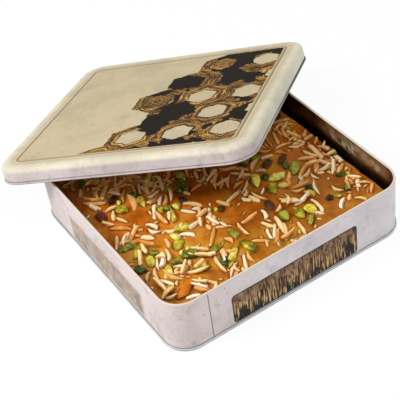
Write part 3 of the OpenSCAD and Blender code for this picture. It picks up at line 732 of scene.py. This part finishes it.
def within(place, patches, margin=0):
    return any(math.hypot(place[0] - a * mm, place[1] - b * mm) < (r + margin) * mm for a, b, r in patches)


def groupOf(kind, long, shade, v):
    if kind in ("greens", "chips", "crumbs"):
        return kind
    if long < v["chipLong"]:
        return "chips"
    return "toasted" if shade < v["toastedShare"] else "cream"


def addLoose(v):
    # Seeded bits between the nuts that the CAD lays, clear of them and of each other
    random = np.random.default_rng(v["seed"])
    hosts, frames, sizes = zip(*(row for rows in lies.values() for row in rows))
    spines = np.array([spine(middle, axes[0] / np.linalg.norm(axes[0][:2]), size[0], size[1])
                       for middle, axes, size in zip(hosts, frames, sizes)])
    radii = np.array([size[1] / 2 for size in sizes])
    crowd = [middle for middle in hosts if within(middle, v["dense"])]
    dark = [row[0] for row in lies["dark_kernels"]]
    added = {"cream": [], "toasted": [], "chips": [], "crumbs": [], "greens": []}
    for kind, wanted, *spans in v["bits"]:
        count = 0
        heaped = kind == "heaped"
        if heaped:
            # These lie on the others, so they keep clear of each other, and of one nut more,
            # because the list can't be empty
            spines, radii = spines[:1], radii[:1]
        for _ in range(wanted * v["tries"]):
            if count == wanted:
                break
            pool = crowd if random.random() < v["denseShare"] else hosts
            host = pool[random.integers(len(pool))]
            far = random.uniform(*v["onTop" if heaped else "beside"]) * mm
            way, turn = random.uniform(0, 2 * math.pi, 2)
            long, wide, high = (random.uniform(*span) * mm for span in spans)
            x, y = host[0] + far * math.cos(way), host[1] + far * math.sin(way)
            if not heaped and random.random() < v["patchShare"]:
                a, b, r = (c * mm for c in v["dense"][random.integers(len(v["dense"]))])
                far = r * math.sqrt(random.random())
                x, y = a + far * math.cos(way), b + far * math.sin(way)
            lean = random.normal(0, v["onTopLean" if heaped else "besideLean"])
            shade = random.random()
            if heaped and any(host is middle for middle in dark):
                continue
            if max(abs(x), abs(y)) > v["reach"] - long * v["heldShare"]:
                continue
            if within((x, y), v["bare"], v["bareMargin"]):
                continue
            direction = np.array((math.cos(turn), math.sin(turn)))
            own = spine(np.array((x, y)), direction, long, wide)
            apart = np.linalg.norm(spines[:, :, None] - own[None, None], axis=3).min(axis=(1, 2))
            if (apart - radii).min() < wide / 2 + v["apart"]:
                continue
            spines = np.concatenate([spines, own[None]])
            radii = np.append(radii, wide / 2)
            along = np.array((*direction * math.cos(lean), math.sin(lean)))
            across = np.array((-direction[1], direction[0], 0))
            level = float(glazeLevel(np.array([x]), np.array([y]))[0]) + high * (0.5 - v["sunk"])
            if heaped:
                level = host[2] + v["onTopRise"] + high * 0.4
            axes = np.array((along, across, np.cross(along, across)))
            added[groupOf(kind, long, shade, v)].append((np.array((x, y, level)), axes,
                                                         np.array((long, wide, high))))
            count += 1
    return added


loose = addLoose(sweets)
print("loose bits:", {name: len(rows) for name, rows in loose.items()})


def slabLines(half, v):
    # Lines across the slab, closer at its edges
    inner = half - v["edge"]
    closing = [inner + v["edge"] * k for k in v["edgeShares"]]
    flat = np.linspace(-inner, inner, v["cells"])
    return np.concatenate([[-c for c in reversed(closing)], flat, closing])


def roundGrid(lines, half, corner):
    # A grid with its square corners pulled in to round ones, and how far each point is from the edge
    gx, gy = np.meshgrid(lines, lines, indexing="ij")
    qx = np.maximum(np.abs(gx) - (half - corner), 0)
    qy = np.maximum(np.abs(gy) - (half - corner), 0)
    far = np.hypot(qx, qy)
    share = np.where(far > 0, np.maximum(qx, qy) / np.maximum(far, 1e-9), 1)
    x = np.sign(gx) * (np.abs(gx) - qx + qx * share)
    y = np.sign(gy) * (np.abs(gy) - qy + qy * share)
    straight = half - np.maximum(np.abs(gx), np.abs(gy))
    inset = np.where((qx > 0) & (qy > 0), corner - far * share, straight)
    return x, y, np.maximum(inset, 0)


def climb(x, y, lines, v):
    # The caramel climbs at the foot of each nut that lies on it, and never drowns it
    near = np.zeros_like(x)
    creep = np.zeros_like(x)
    ceiling = np.full_like(x, slabTop + v["highest"])
    for middle, axes, size in [row for rows in (*lies.values(), *loose.values()) for row in rows]:
        if middle[2] - size[2] / 2 > slabTop + v["lifted"]:
            continue
        reach = size[0] / 2 + v["around"]
        i, j = (slice(*np.searchsorted(lines, (c - reach, c + reach))) for c in middle[:2])
        u = (x[i, j] - middle[0]) * axes[0][0] + (y[i, j] - middle[1]) * axes[0][1]
        w = (x[i, j] - middle[0]) * axes[1][0] + (y[i, j] - middle[1]) * axes[1][1]
        core = max(size[0] - size[1], 0) / 2
        gap = np.hypot(np.maximum(np.abs(u) - core, 0), w) - size[1] / 2
        rise = np.clip(1 - gap / v["creepReach"], 0, 1)
        most = min(v["creep"], size[2] * v["creepShare"])
        near[i, j] = np.maximum(near[i, j], rise)
        creep[i, j] = np.maximum(creep[i, j], rise ** v["creepPower"] * most)
        shore = middle[2] - size[2] * (0.5 - v["shore"]) + axes[0][2] * u
        ceiling[i, j] = np.minimum(ceiling[i, j], shore + np.maximum(gap, 0) * v["shoreSlope"])
    return near, creep, ceiling


def addSlab(v):
    low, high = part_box("brittle_slab")
    corner = tin["corner"] - (tin["half"] - high.x)
    foot = low.z + v["footLift"]
    lines = slabLines(high.x, v)
    x, y, inset = roundGrid(lines, high.x, corner)
    near, creep, ceiling = climb(x, y, lines, v)
    # Rounded, slightly ragged edge
    t = np.clip(inset / v["edge"], 0, 1)
    drop = v["edge"] * (1 - np.sqrt(np.clip(1 - (1 - t) ** 2, 0, 1)))
    z = np.minimum(glazeLevel(x, y) + creep, ceiling) - drop
    ragged = waves(x, y, v["edgeWaves"], v["edgeSeed"])
    pull = 1 - (1 - t) * (v["edgeInset"] + ragged) / np.maximum(np.hypot(x, y), 1e-6)
    n = len(lines)
    points = list(zip((x * pull).ravel(), (y * pull).ravel(), z.ravel()))
    faces = [(i * n + j, (i + 1) * n + j, (i + 1) * n + j + 1, i * n + j + 1)
             for i in range(n - 1) for j in range(n - 1)]
    # Sides go down from the grid's rim, then the floor closes it
    rim = ([i * n for i in range(n)] + [(n - 1) * n + j for j in range(1, n)]
           + [i * n + n - 1 for i in range(n - 2, -1, -1)] + list(range(n - 2, 0, -1)))
    last = rim
    for level, out in v["sides"]:
        ring = list(range(len(points), len(points) + len(rim)))
        points += [(points[k][0] * out, points[k][1] * out, foot + (points[k][2] - foot) * level)
                   for k in rim]
        faces += [(last[k - 1], ring[k - 1], ring[k], last[k]) for k in range(len(rim))]
        last = ring
    points.append((0, 0, foot))
    faces += [(last[k - 1], len(points) - 1, last[k]) for k in range(len(last))]
    obj = addObject("brittleGlaze", points, faces)
    stored = obj.data.attributes.new("near", "FLOAT", "POINT")
    values = np.zeros(len(points), np.float32)
    values[:n * n] = near.ravel()
    stored.data.foreach_set("value", values)
    return obj


caramel = {
    "tones": ((0.22, 0.046, 0.002), (0.49, 0.16, 0.009), (0.76, 0.4, 0.04)),
    "lumpTones": ((0.32, 0.06, 0.003), (0.63, 0.17, 0.01), (0.88, 0.4, 0.04)),
    "stops": (0.32, 0.49, 0.69),
    "backShadeFade": (-62 * mm, 0),              # painted shade: darker towards the back and under the lid
    "backShadeTint": (0.74, 0.68, 0.62),
    "leftFade": (75 * mm, -10 * mm),        # redder towards the left
    "leftTint": (1.1, 0.87, 0.95),
    "edgeShadeFade": (slabTop - 1 * mm, slabTop - 7 * mm),
    "contactShadeFade": (0.5, 0.97),                # painted contact shade: darker where it climbs at a nut
    "wallShadowFade": (-92 * mm, -101 * mm),   # painted shadow of the front wall on the caramel
    "wallShadowSideFade": (80 * mm, 40 * mm),
    "wallShadowWander": 10 * mm,
}


def caramelFinish(name, tones, v):
    f = Finish(name)
    point = f.place()
    x, y, z = f.parts(point)
    cloud = f.noise(point, 26, 4, 0.62)
    fine = f.noise(f.shifted(point, (0.4, 0.7, 0.2)), 150, 4, 0.65)
    colour = f.ramp(cloud * 0.82 + fine * 0.2, list(zip(v["stops"], tones)))
    # Painted shade: darker towards the back, where the lid's shadow falls
    colour = f.mix(y.over(*v["backShadeFade"]), colour, v["backShadeTint"], "MULTIPLY")
    colour = f.mix(x.over(*v["leftFade"]), colour, v["leftTint"], "MULTIPLY")
    # Painted shade on the slab's sunken edge and sides, in the gap by the walls
    colour = f.mix(z.over(*v["edgeShadeFade"]) * 0.75, colour, scaled(tones[0], 0.4))
    # Painted contact shade where the caramel climbs at a nut
    near = f.attribute("near").over(*v["contactShadeFade"])
    colour = f.mix(near * 0.72, colour, scaled(tones[0], 0.6))
    # Painted shadow of the front wall along the caramel's front edge
    paintedWallShadow = (y + (cloud - 0.5) * v["wallShadowWander"]).over(*v["wallShadowFade"])
    paintedWallShadow = paintedWallShadow * x.over(*v["wallShadowSideFade"])
    colour = f.mix(paintedWallShadow * 0.3, colour, scaled(tones[0], 0.5))
    height = f.noise(point, 190, 3, 0.5) * 0.5 + f.noise(point, 560, 2) * 0.3
    return f.surface(Base_Color=colour, Roughness=fine * 0.2 + 0.3, Normal=f.bump(height, 0.3 * mm),
                     Specular_IOR_Level=0.09, Coat_Weight=0.06, Coat_Roughness=0.12)


glaze = addSlab(slab)
give(glaze, caramelFinish("caramelGlaze", caramel["tones"], caramel))
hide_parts("brittle_slab")
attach(glaze, sweets["body"])
print("slab made")


def loft(name, rings, section, smooth, skins, dent=0.0, slant=0.0, seed=1):
    # Closed body through rings (along, across, up, width, height); skins says which sides keep
    # their skin, dent makes it uneven, and slant cuts its ends askew.
    points, faces = [], []
    count = len(section)
    endSkin = 0.3
    starts = np.random.default_rng(seed).uniform(0, 2 * math.pi, 3)
    for along, across, up, wide, high in rings:
        askew = slant * wide * max(abs(along) * 5 - 1.5, 0) * math.copysign(1, along * math.sin(starts[2]))
        for a, b in section:
            turn = math.atan2(b, a)
            dents = math.sin(2 * turn + 7 * along + starts[0]) + math.sin(3 * turn - 13 * along + starts[1])
            uneven = 1 + dent * dents
            points.append((along + askew * a, across + wide * a * uneven, up + high * b * uneven))
    for k in range(len(rings) - 1):
        for c in range(count):
            a, b = k * count + c, k * count + (c + 1) % count
            faces.append((a, a + count, b + count, b))
    last = (len(rings) - 1) * count
    faces.append(tuple(range(count)))
    faces.append(tuple(last + c for c in reversed(range(count))))
    obj = addObject(name, points, faces, smooth)
    stored = obj.data.attributes.new("skin", "FLOAT", "FACE")
    values = list(skins) * (len(rings) - 1) + [endSkin, endSkin]
    stored.data.foreach_set("value", np.array(values, np.float32))
    bpy.context.scene.collection.objects.unlink(obj)
    return obj


sliver = {
    "section": ((-0.5, -0.42), (0.46, -0.5), (0.5, 0.08), (0.2, 0.5), (-0.38, 0.42), (-0.5, 0.1)),
    "skins": (0.5, 1.0, 0.9, 0.0, 0.5, 0.8),
    "places": (-0.48, -0.4, -0.22, 0.0, 0.22, 0.39, 0.48),
    # widths along the stick, heights along it, bend across, bend up
    "kinds": (
        ((0.86, 0.94, 1.0, 0.98, 1.0, 0.96, 0.82), (0.9, 1.0, 1.0, 1.0, 1.0, 0.95, 0.85), 0.04, 0.02),
        ((0.16, 0.5, 0.9, 1.0, 0.86, 0.5, 0.12), (0.4, 0.75, 1.0, 1.0, 0.9, 0.7, 0.4), 0.45, 0.06),
        ((0.72, 0.92, 0.98, 1.0, 0.84, 0.52, 0.12), (0.8, 0.95, 1.0, 0.95, 0.9, 0.7, 0.4), -0.12, 0.1),
        ((0.5, 0.78, 0.9, 1.0, 0.96, 0.9, 0.66), (0.7, 0.9, 0.95, 1.0, 1.0, 0.95, 0.8), 0.1, -0.08),
        ((0.6, 0.8, 0.95, 1.0, 0.94, 0.78, 0.5), (0.7, 0.9, 1.0, 1.0, 0.95, 0.85, 0.7), -0.05, 0.04),
        ((0.1, 0.42, 0.86, 1.0, 0.8, 0.4, 0.08), (0.35, 0.7, 0.9, 1.0, 0.85, 0.65, 0.35), -0.5, 0.12),
        ((0.4, 0.68, 0.8, 0.88, 0.95, 1.0, 0.7), (0.6, 0.85, 0.9, 1.0, 1.0, 0.95, 0.8), 0.22, 0.0),
    ),
    "dent": 0.05,
    "slant": 0.14,
    "seed": 70,
    "stretch": (1.04, 1.12, 1.25),          # times its CAD solid's length, width and height
}


def sliverShapes(v):
    # Sticks and crescents of cut almond, one unit long, wide and high, and the same bent the other way
    made = []
    for index in range(2 * len(v["kinds"])):
        wides, highs, bend, lift = v["kinds"][index % len(v["kinds"])]
        side = 1 if index < len(v["kinds"]) else -1
        random = np.random.default_rng(v["seed"] + index)
        rings = []
        for t, wide, high in zip(v["places"], wides, highs):
            across = side * bend * (4 * t * t - 0.4) + random.uniform(-0.05, 0.05)
            up = lift * (4 * t * t - 0.5) - (1 - high) * 0.16
            width = wide * (1 - abs(bend) * 0.2) * random.uniform(0.86, 1.08)
            rings.append((t, across, up, width, high * random.uniform(0.84, 1.0)))
        made.append(loft("sliver%d" % index, rings, v["section"], False, v["skins"], v["dent"],
                         v["slant"], index))
    return made


kernel = {
    # bluntness, crease, height of the upper half, and how far along the kernel a cut goes through it
    "kinds": ((0.9, 0.1, 1.0, 0.5), (1.0, 0.05, 0.35, 0.5), (0.85, 0.16, 1.0, 0.5), (1.15, 0.0, 0.25, 0.5),
              (1.3, 0.08, 0.8, 0.5), (1.0, 0.1, 0.9, 0.12), (1.1, 0.0, 0.3, 0.2)),
    "around": 14,             # corners
    "face": (1, 4),           # of them these lie on the flat face of a split one
    "creaseAt": 3,
    "steps": 10,
    "rough": 0.05,
    "cutSlant": 0.25,
    "seed": 20,
    "stretch": (1.16, 1.14, 1.28),
}
knob = dict(kernel, rough=0.14, stretch=(1.0, 1.0, 1.0))


def kernelShapes(v):
    # Whole and split kernels, one unit long, wide and high; a split one has a flat pale face
    made = []
    rough = v["rough"]
    for index, (blunt, crease, crown, cut) in enumerate(v["kinds"]):
        random = np.random.default_rng(v["seed"] + index)
        section, skins = [], []
        split = crown < 0.5
        for c in range(v["around"]):
            angle = 2 * math.pi * c / v["around"]
            a, b = math.cos(angle) * 0.5, min(math.sin(angle) * 0.5, 0.5 * crown)
            b = (b + 0.5) / (0.5 + 0.5 * crown) - 0.5
            b *= 1 - crease * 3 * (c == v["creaseAt"])
            section.append((a, b))
            onFace = split and v["face"][0] <= c <= v["face"][1]
            skins.append(0.0 if onFace else 0.85 if split else 0.4)
        rings = []
        for k in range(v["steps"] + 1):
            t = -0.5 + k / v["steps"]
            whole = -0.5 + (k / v["steps"]) * (cut + 0.5)
            girth = max(max(1 - abs(2 * whole) ** (1.9 * blunt), 0.0) ** 0.66, 0.1)
            girth *= 1 + random.uniform(-rough, rough)
            rings.append((t, 0.05 * math.sin(3 * t + index), random.uniform(-rough, rough) * 0.3,
                          girth * (1 - 0.16 * t), girth * (1 - 0.1 * t)))
        slant = v["cutSlant"] if cut < 0.5 else 0.0
        made.append(loft("kernel%d" % index, rings, section, True, skins, rough * 0.8, slant, index))
    return made


chip = {
    "section": ((-0.45, -0.5), (0.45, -0.45), (0.4, 0.3), (0.0, 0.5), (-0.4, 0.25)),
    "rings": ((-0.5, 0.05, -0.05, 0.55, 0.6), (-0.15, 0.0, 0.0, 1.0, 1.0), (0.25, -0.05, 0.0, 0.9, 0.9),
              (0.5, 0.05, -0.08, 0.4, 0.5)),
    "skins": (0.5, 1.0, 0.2, 0.0, 0.7),
    "kinds": 4,
    "seed": 50,
    "stretch": (1.1, 1.1, 1.2),
}


def chipShapes(v):
    made = []
    for index in range(v["kinds"]):
        random = np.random.default_rng(v["seed"] + index)
        section = [(a + random.uniform(-0.1, 0.1), b + random.uniform(-0.12, 0.08))
                   for a, b in v["section"]]
        made.append(loft("chip%d" % index, v["rings"], section, False, v["skins"]))
    return made


lump = {
    "around": 14,
    "steps": 12,
    "dent": 0.1,
    "stretch": (1.0, 1.0, 1.0),
}


def lumpShapes(v):
    section = [(math.cos(a) * 0.5, math.sin(a) * 0.5)
               for a in np.linspace(0, 2 * math.pi, v["around"], endpoint=False)]
    rings = []
    for k in range(v["steps"] + 1):
        t = -0.5 + k / v["steps"]
        girth = max(math.sqrt(max(1 - (2 * t) ** 2, 0)), 0.12)
        rings.append((t, 0.06 * math.sin(9 * t), -0.02, girth * (1 + 0.12 * math.sin(11 * t)), girth))
    return [loft("lump0", rings, section, True, [0.0] * v["around"], v["dent"])]


def nutTree(name):
    # Geometry Nodes: on each point the shape, turn and size that its attributes say
    tree = bpy.data.node_groups.new(name, "GeometryNodeTree")
    face = tree.interface
    face.new_socket("Geometry", in_out="INPUT", socket_type="NodeSocketGeometry")
    sockets = {key: face.new_socket(key, in_out="INPUT", socket_type="NodeSocket" + kind).identifier
               for key, kind in (("Shapes", "Collection"), ("Swell", "Float"), ("Seed", "Int"),
                                 ("Finish", "Material"))}
    face.new_socket("Geometry", in_out="OUTPUT", socket_type="NodeSocketGeometry")

    def add(kind, settings=None, **inputs):
        node = tree.nodes.new(kind)
        for key, value in (settings or {}).items():
            setattr(node, key, value)
        for key, value in inputs.items():
            node.inputs[key.replace("_", " ")].default_value = value
        return node

    start, end = add("NodeGroupInput"), add("NodeGroupOutput")
    turn = add("GeometryNodeInputNamedAttribute", {"data_type": "FLOAT_VECTOR"}, Name="turn")
    size = add("GeometryNodeInputNamedAttribute", {"data_type": "FLOAT_VECTOR"}, Name="size")
    rotation = add("FunctionNodeEulerToRotation")
    swollen = add("ShaderNodeVectorMath", {"operation": "SCALE"})
    chosen = add("GeometryNodeInputNamedAttribute", {"data_type": "INT"}, Name="shape")
    tint = add("FunctionNodeRandomValue", {"data_type": "FLOAT"})
    pool = add("GeometryNodeCollectionInfo", None, Separate_Children=True, Reset_Children=True)
    laid = add("GeometryNodeInstanceOnPoints", None, Pick_Instance=True)
    stored = add("GeometryNodeStoreNamedAttribute", {"data_type": "FLOAT", "domain": "INSTANCE"},
                 Name="tint")
    real = add("GeometryNodeRealizeInstances")
    painted = add("GeometryNodeSetMaterial")
    # Random Value has a result for each type, so it is found by type
    tree.links.new(next(s for s in tint.outputs if s.type == "VALUE"),
                   next(s for s in stored.inputs if s.type == "VALUE"))
    for source, out, target, into in (
            (turn, "Attribute", rotation, 0), (size, "Attribute", swollen, "Vector"),
            (start, "Swell", swollen, "Scale"), (chosen, "Attribute", laid, "Instance Index"),
            (start, "Seed", tint, "Seed"), (start, "Shapes", pool, "Collection"),
            (start, "Geometry", laid, "Points"), (pool, 0, laid, "Instance"),
            (rotation, 0, laid, "Rotation"), (swollen, 0, laid, "Scale"),
            (laid, 0, stored, "Geometry"), (stored, 0, real, "Geometry"),
            (real, 0, painted, "Geometry"), (start, "Finish", painted, "Material"),
            (painted, 0, end, 0)):
        tree.links.new(source.outputs[out], target.inputs[into])
    return tree, sockets


def nutPoints(name, rows, shapes, seed, stretch):
    # One point for each nut, with its turn, its size and the number of its shape
    middles, axes, sizes = zip(*rows)
    mesh = bpy.data.meshes.new(name + "Points")
    mesh.from_pydata([tuple(middle) for middle in middles], [], [])
    turns = [tuple(Matrix([tuple(a) for a in own]).transposed().to_euler("XYZ")) for own in axes]
    for key, values in (("turn", turns), ("size", [tuple(size * stretch) for size in sizes])):
        made = mesh.attributes.new(key, "FLOAT_VECTOR", "POINT")
        made.data.foreach_set("vector", np.array(values, np.float32).ravel())
    picked = np.random.default_rng(seed).integers(len(shapes), size=len(rows))
    if name == "toastedSlivers":
        picked[[size[1] > sweets["crescentWide"] for size in sizes]] = len(shapes) // 2 + 1
    mesh.attributes.new("shape", "INT", "POINT").data.foreach_set("value", picked.astype(np.int32))
    return newObject(name + "Points", mesh)


def layNuts(name, rows, shapes, material, seed, stretch):
    # One plain mesh of all the nuts of a kind
    obj = nutPoints(name, rows, shapes, seed, stretch)
    pool = bpy.data.collections.new(name + "Shapes")
    for shape in shapes:
        pool.objects.link(shape)
    tree, sockets = nutTree(name + "Tree")
    modifier = obj.modifiers.new("lay", "NODES")
    modifier.node_group = tree
    for key, value in (("Shapes", pool), ("Swell", sweets["swell"]), ("Seed", seed), ("Finish", material)):
        modifier[sockets[key]] = value
    plain = bpy.data.meshes.new_from_object(obj.evaluated_get(bpy.context.evaluated_depsgraph_get()))
    obj.modifiers.remove(modifier)
    bpy.data.objects.remove(obj)
    bpy.data.collections.remove(pool)
    laid = newObject(name, plain)
    give(laid, material)
    return laid


almond = {
    "cream": ((0.8, 0.42, 0.12), (0.95, 0.72, 0.36), (0.94, 0.87, 0.66)),
    "toasted": ((0.64, 0.21, 0.03), (0.94, 0.54, 0.17), (0.97, 0.77, 0.41)),
    "chip": ((0.6, 0.19, 0.03), (0.94, 0.56, 0.18), (0.97, 0.81, 0.46)),
    "stops": (0.22, 0.5, 0.78),
    "skin": (0.55, 0.2, 0.025),
    "backShadeFade": (30 * mm, -50 * mm),        # of x - y / 2: nuts towards the back and under the lid are darker, partly toasted and partly painted shade
    "backShadeTint": (0.95, 0.8, 0.7),
    "footFade": (slabTop + 2 * mm, slabTop + sweets["glaze"]),
    "stain": (0.33, 0.095, 0.008),
}


def almondFinish(name, kind, v):
    tones = v[kind]
    f = Finish(name)
    point = f.place()
    x, y, z = f.parts(point)
    patch = f.noise(point, 150, 4, 0.65)
    value = f.attribute("tint") * 0.5 + patch * 0.62
    colour = f.ramp(value, list(zip(v["stops"], tones)))
    colour = f.mix(f.attribute("skin") * 0.55, colour, v["skin"])
    brown = f.noise(f.shifted(point, (0.2, 0.6, 0.4)), 260, 3, 0.6).over(0.58, 0.7)
    colour = f.mix(brown * 0.4, colour, scaled(tones[0], 0.6))
    # Partly toasting, partly painted shade: darker towards the back and under the lid
    colour = f.mix((x - y * 0.5).over(*v["backShadeFade"]), colour, v["backShadeTint"], "MULTIPLY")
    foot = z.over(*v["footFade"]) * f.noise(point, 330, 2).over(0.3, 0.6)
    colour = f.mix(foot * 0.65, colour, v["stain"])
    return f.surface(Base_Color=colour, Roughness=patch * 0.2 + 0.36,
                     Normal=f.bump(f.noise(point, 700, 3), 0.15 * mm), Specular_IOR_Level=0.1)


pistachio = {
    # Tones, where husk clings to it, and shine
    "bright": (((0.15, 0.15, 0.005), (0.62, 0.5, 0.018), (0.92, 0.79, 0.17)), (0.61, 0.67), 0.2),
    "green": (((0.01, 0.022, 0.002), (0.055, 0.1, 0.006), (0.4, 0.39, 0.035)), (0.61, 0.67), 0.2),
    "dark": (((0.009, 0.003, 0.003), (0.035, 0.009, 0.009), (0.12, 0.035, 0.022)), (0.63, 0.69), 0.07),
    "stops": (0.4, 0.55, 0.72),
    "skin": (0.06, 0.07, 0.008),
    "husk": (0.1, 0.028, 0.02),
}


def pistachioFinish(name, kind, v):
    tones, huskFade, shine = v[kind]
    f = Finish(name)
    point = f.place()
    patch = f.noise(point, 175, 4, 0.62)
    value = f.attribute("tint") * 0.32 + patch * 0.85
    colour = f.ramp(value, list(zip(v["stops"], tones)))
    skin = f.attribute("skin") * f.noise(point, 130, 3, 0.6).over(0.42, 0.56)
    colour = f.mix(skin * 0.85, colour, v["skin"])
    husk = f.noise(f.shifted(point, (0.1, 0.9, 0.3)), 190, 4, 0.7).over(*huskFade)
    colour = f.mix(husk * 0.85, colour, v["husk"])
    wrinkle = f.noise(point, 420, 3, 0.6, 0.4)
    return f.surface(Base_Color=colour, Roughness=patch * 0.15 + 0.34, Normal=f.bump(wrinkle, 0.35 * mm),
                     Specular_IOR_Level=shine, Coat_Weight=shine, Coat_Roughness=0.18)


# CAD node, loose bits that join it, slot, shapes and the sizes that they are made from, and finish
nutPlan = [
    ("cream_slivers", ("cream",), "cream_almond", sliverShapes, sliver,
     almondFinish("creamAlmond", "cream", almond)),
    ("toasted_slivers", ("toasted",), "toasted_almond", sliverShapes, sliver,
     almondFinish("toastedAlmond", "toasted", almond)),
    ("almond_chips", ("chips", "crumbs"), "almond_chip", chipShapes, chip,
     almondFinish("almondChip", "chip", almond)),
    ("pistachio_kernels", ("greens",), "pistachio", kernelShapes, kernel,
     pistachioFinish("brightPistachio", "bright", pistachio)),
    ("green_pistachios", (), "green_pistachio", kernelShapes, kernel,
     pistachioFinish("greenPistachio", "green", pistachio)),
    ("dark_kernels", (), "dark_kernel", kernelShapes, knob,
     pistachioFinish("darkKernel", "dark", pistachio)),
    ("caramel_lumps", (), "caramel", lumpShapes, lump,
     caramelFinish("caramelLump", caramel["lumpTones"], caramel)),
]
for seed, (node, joining, slotName, shapesOf, v, material) in enumerate(nutPlan, 11):
    first, second = node.split("_")
    rows = sum((loose[kind] for kind in joining), lies[node])
    nuts = layNuts(first + second.title(), rows, shapesOf(v), material, seed, np.array(v["stretch"]))
    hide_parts(node)
    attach(nuts, sweets["body"])
print("nuts laid")
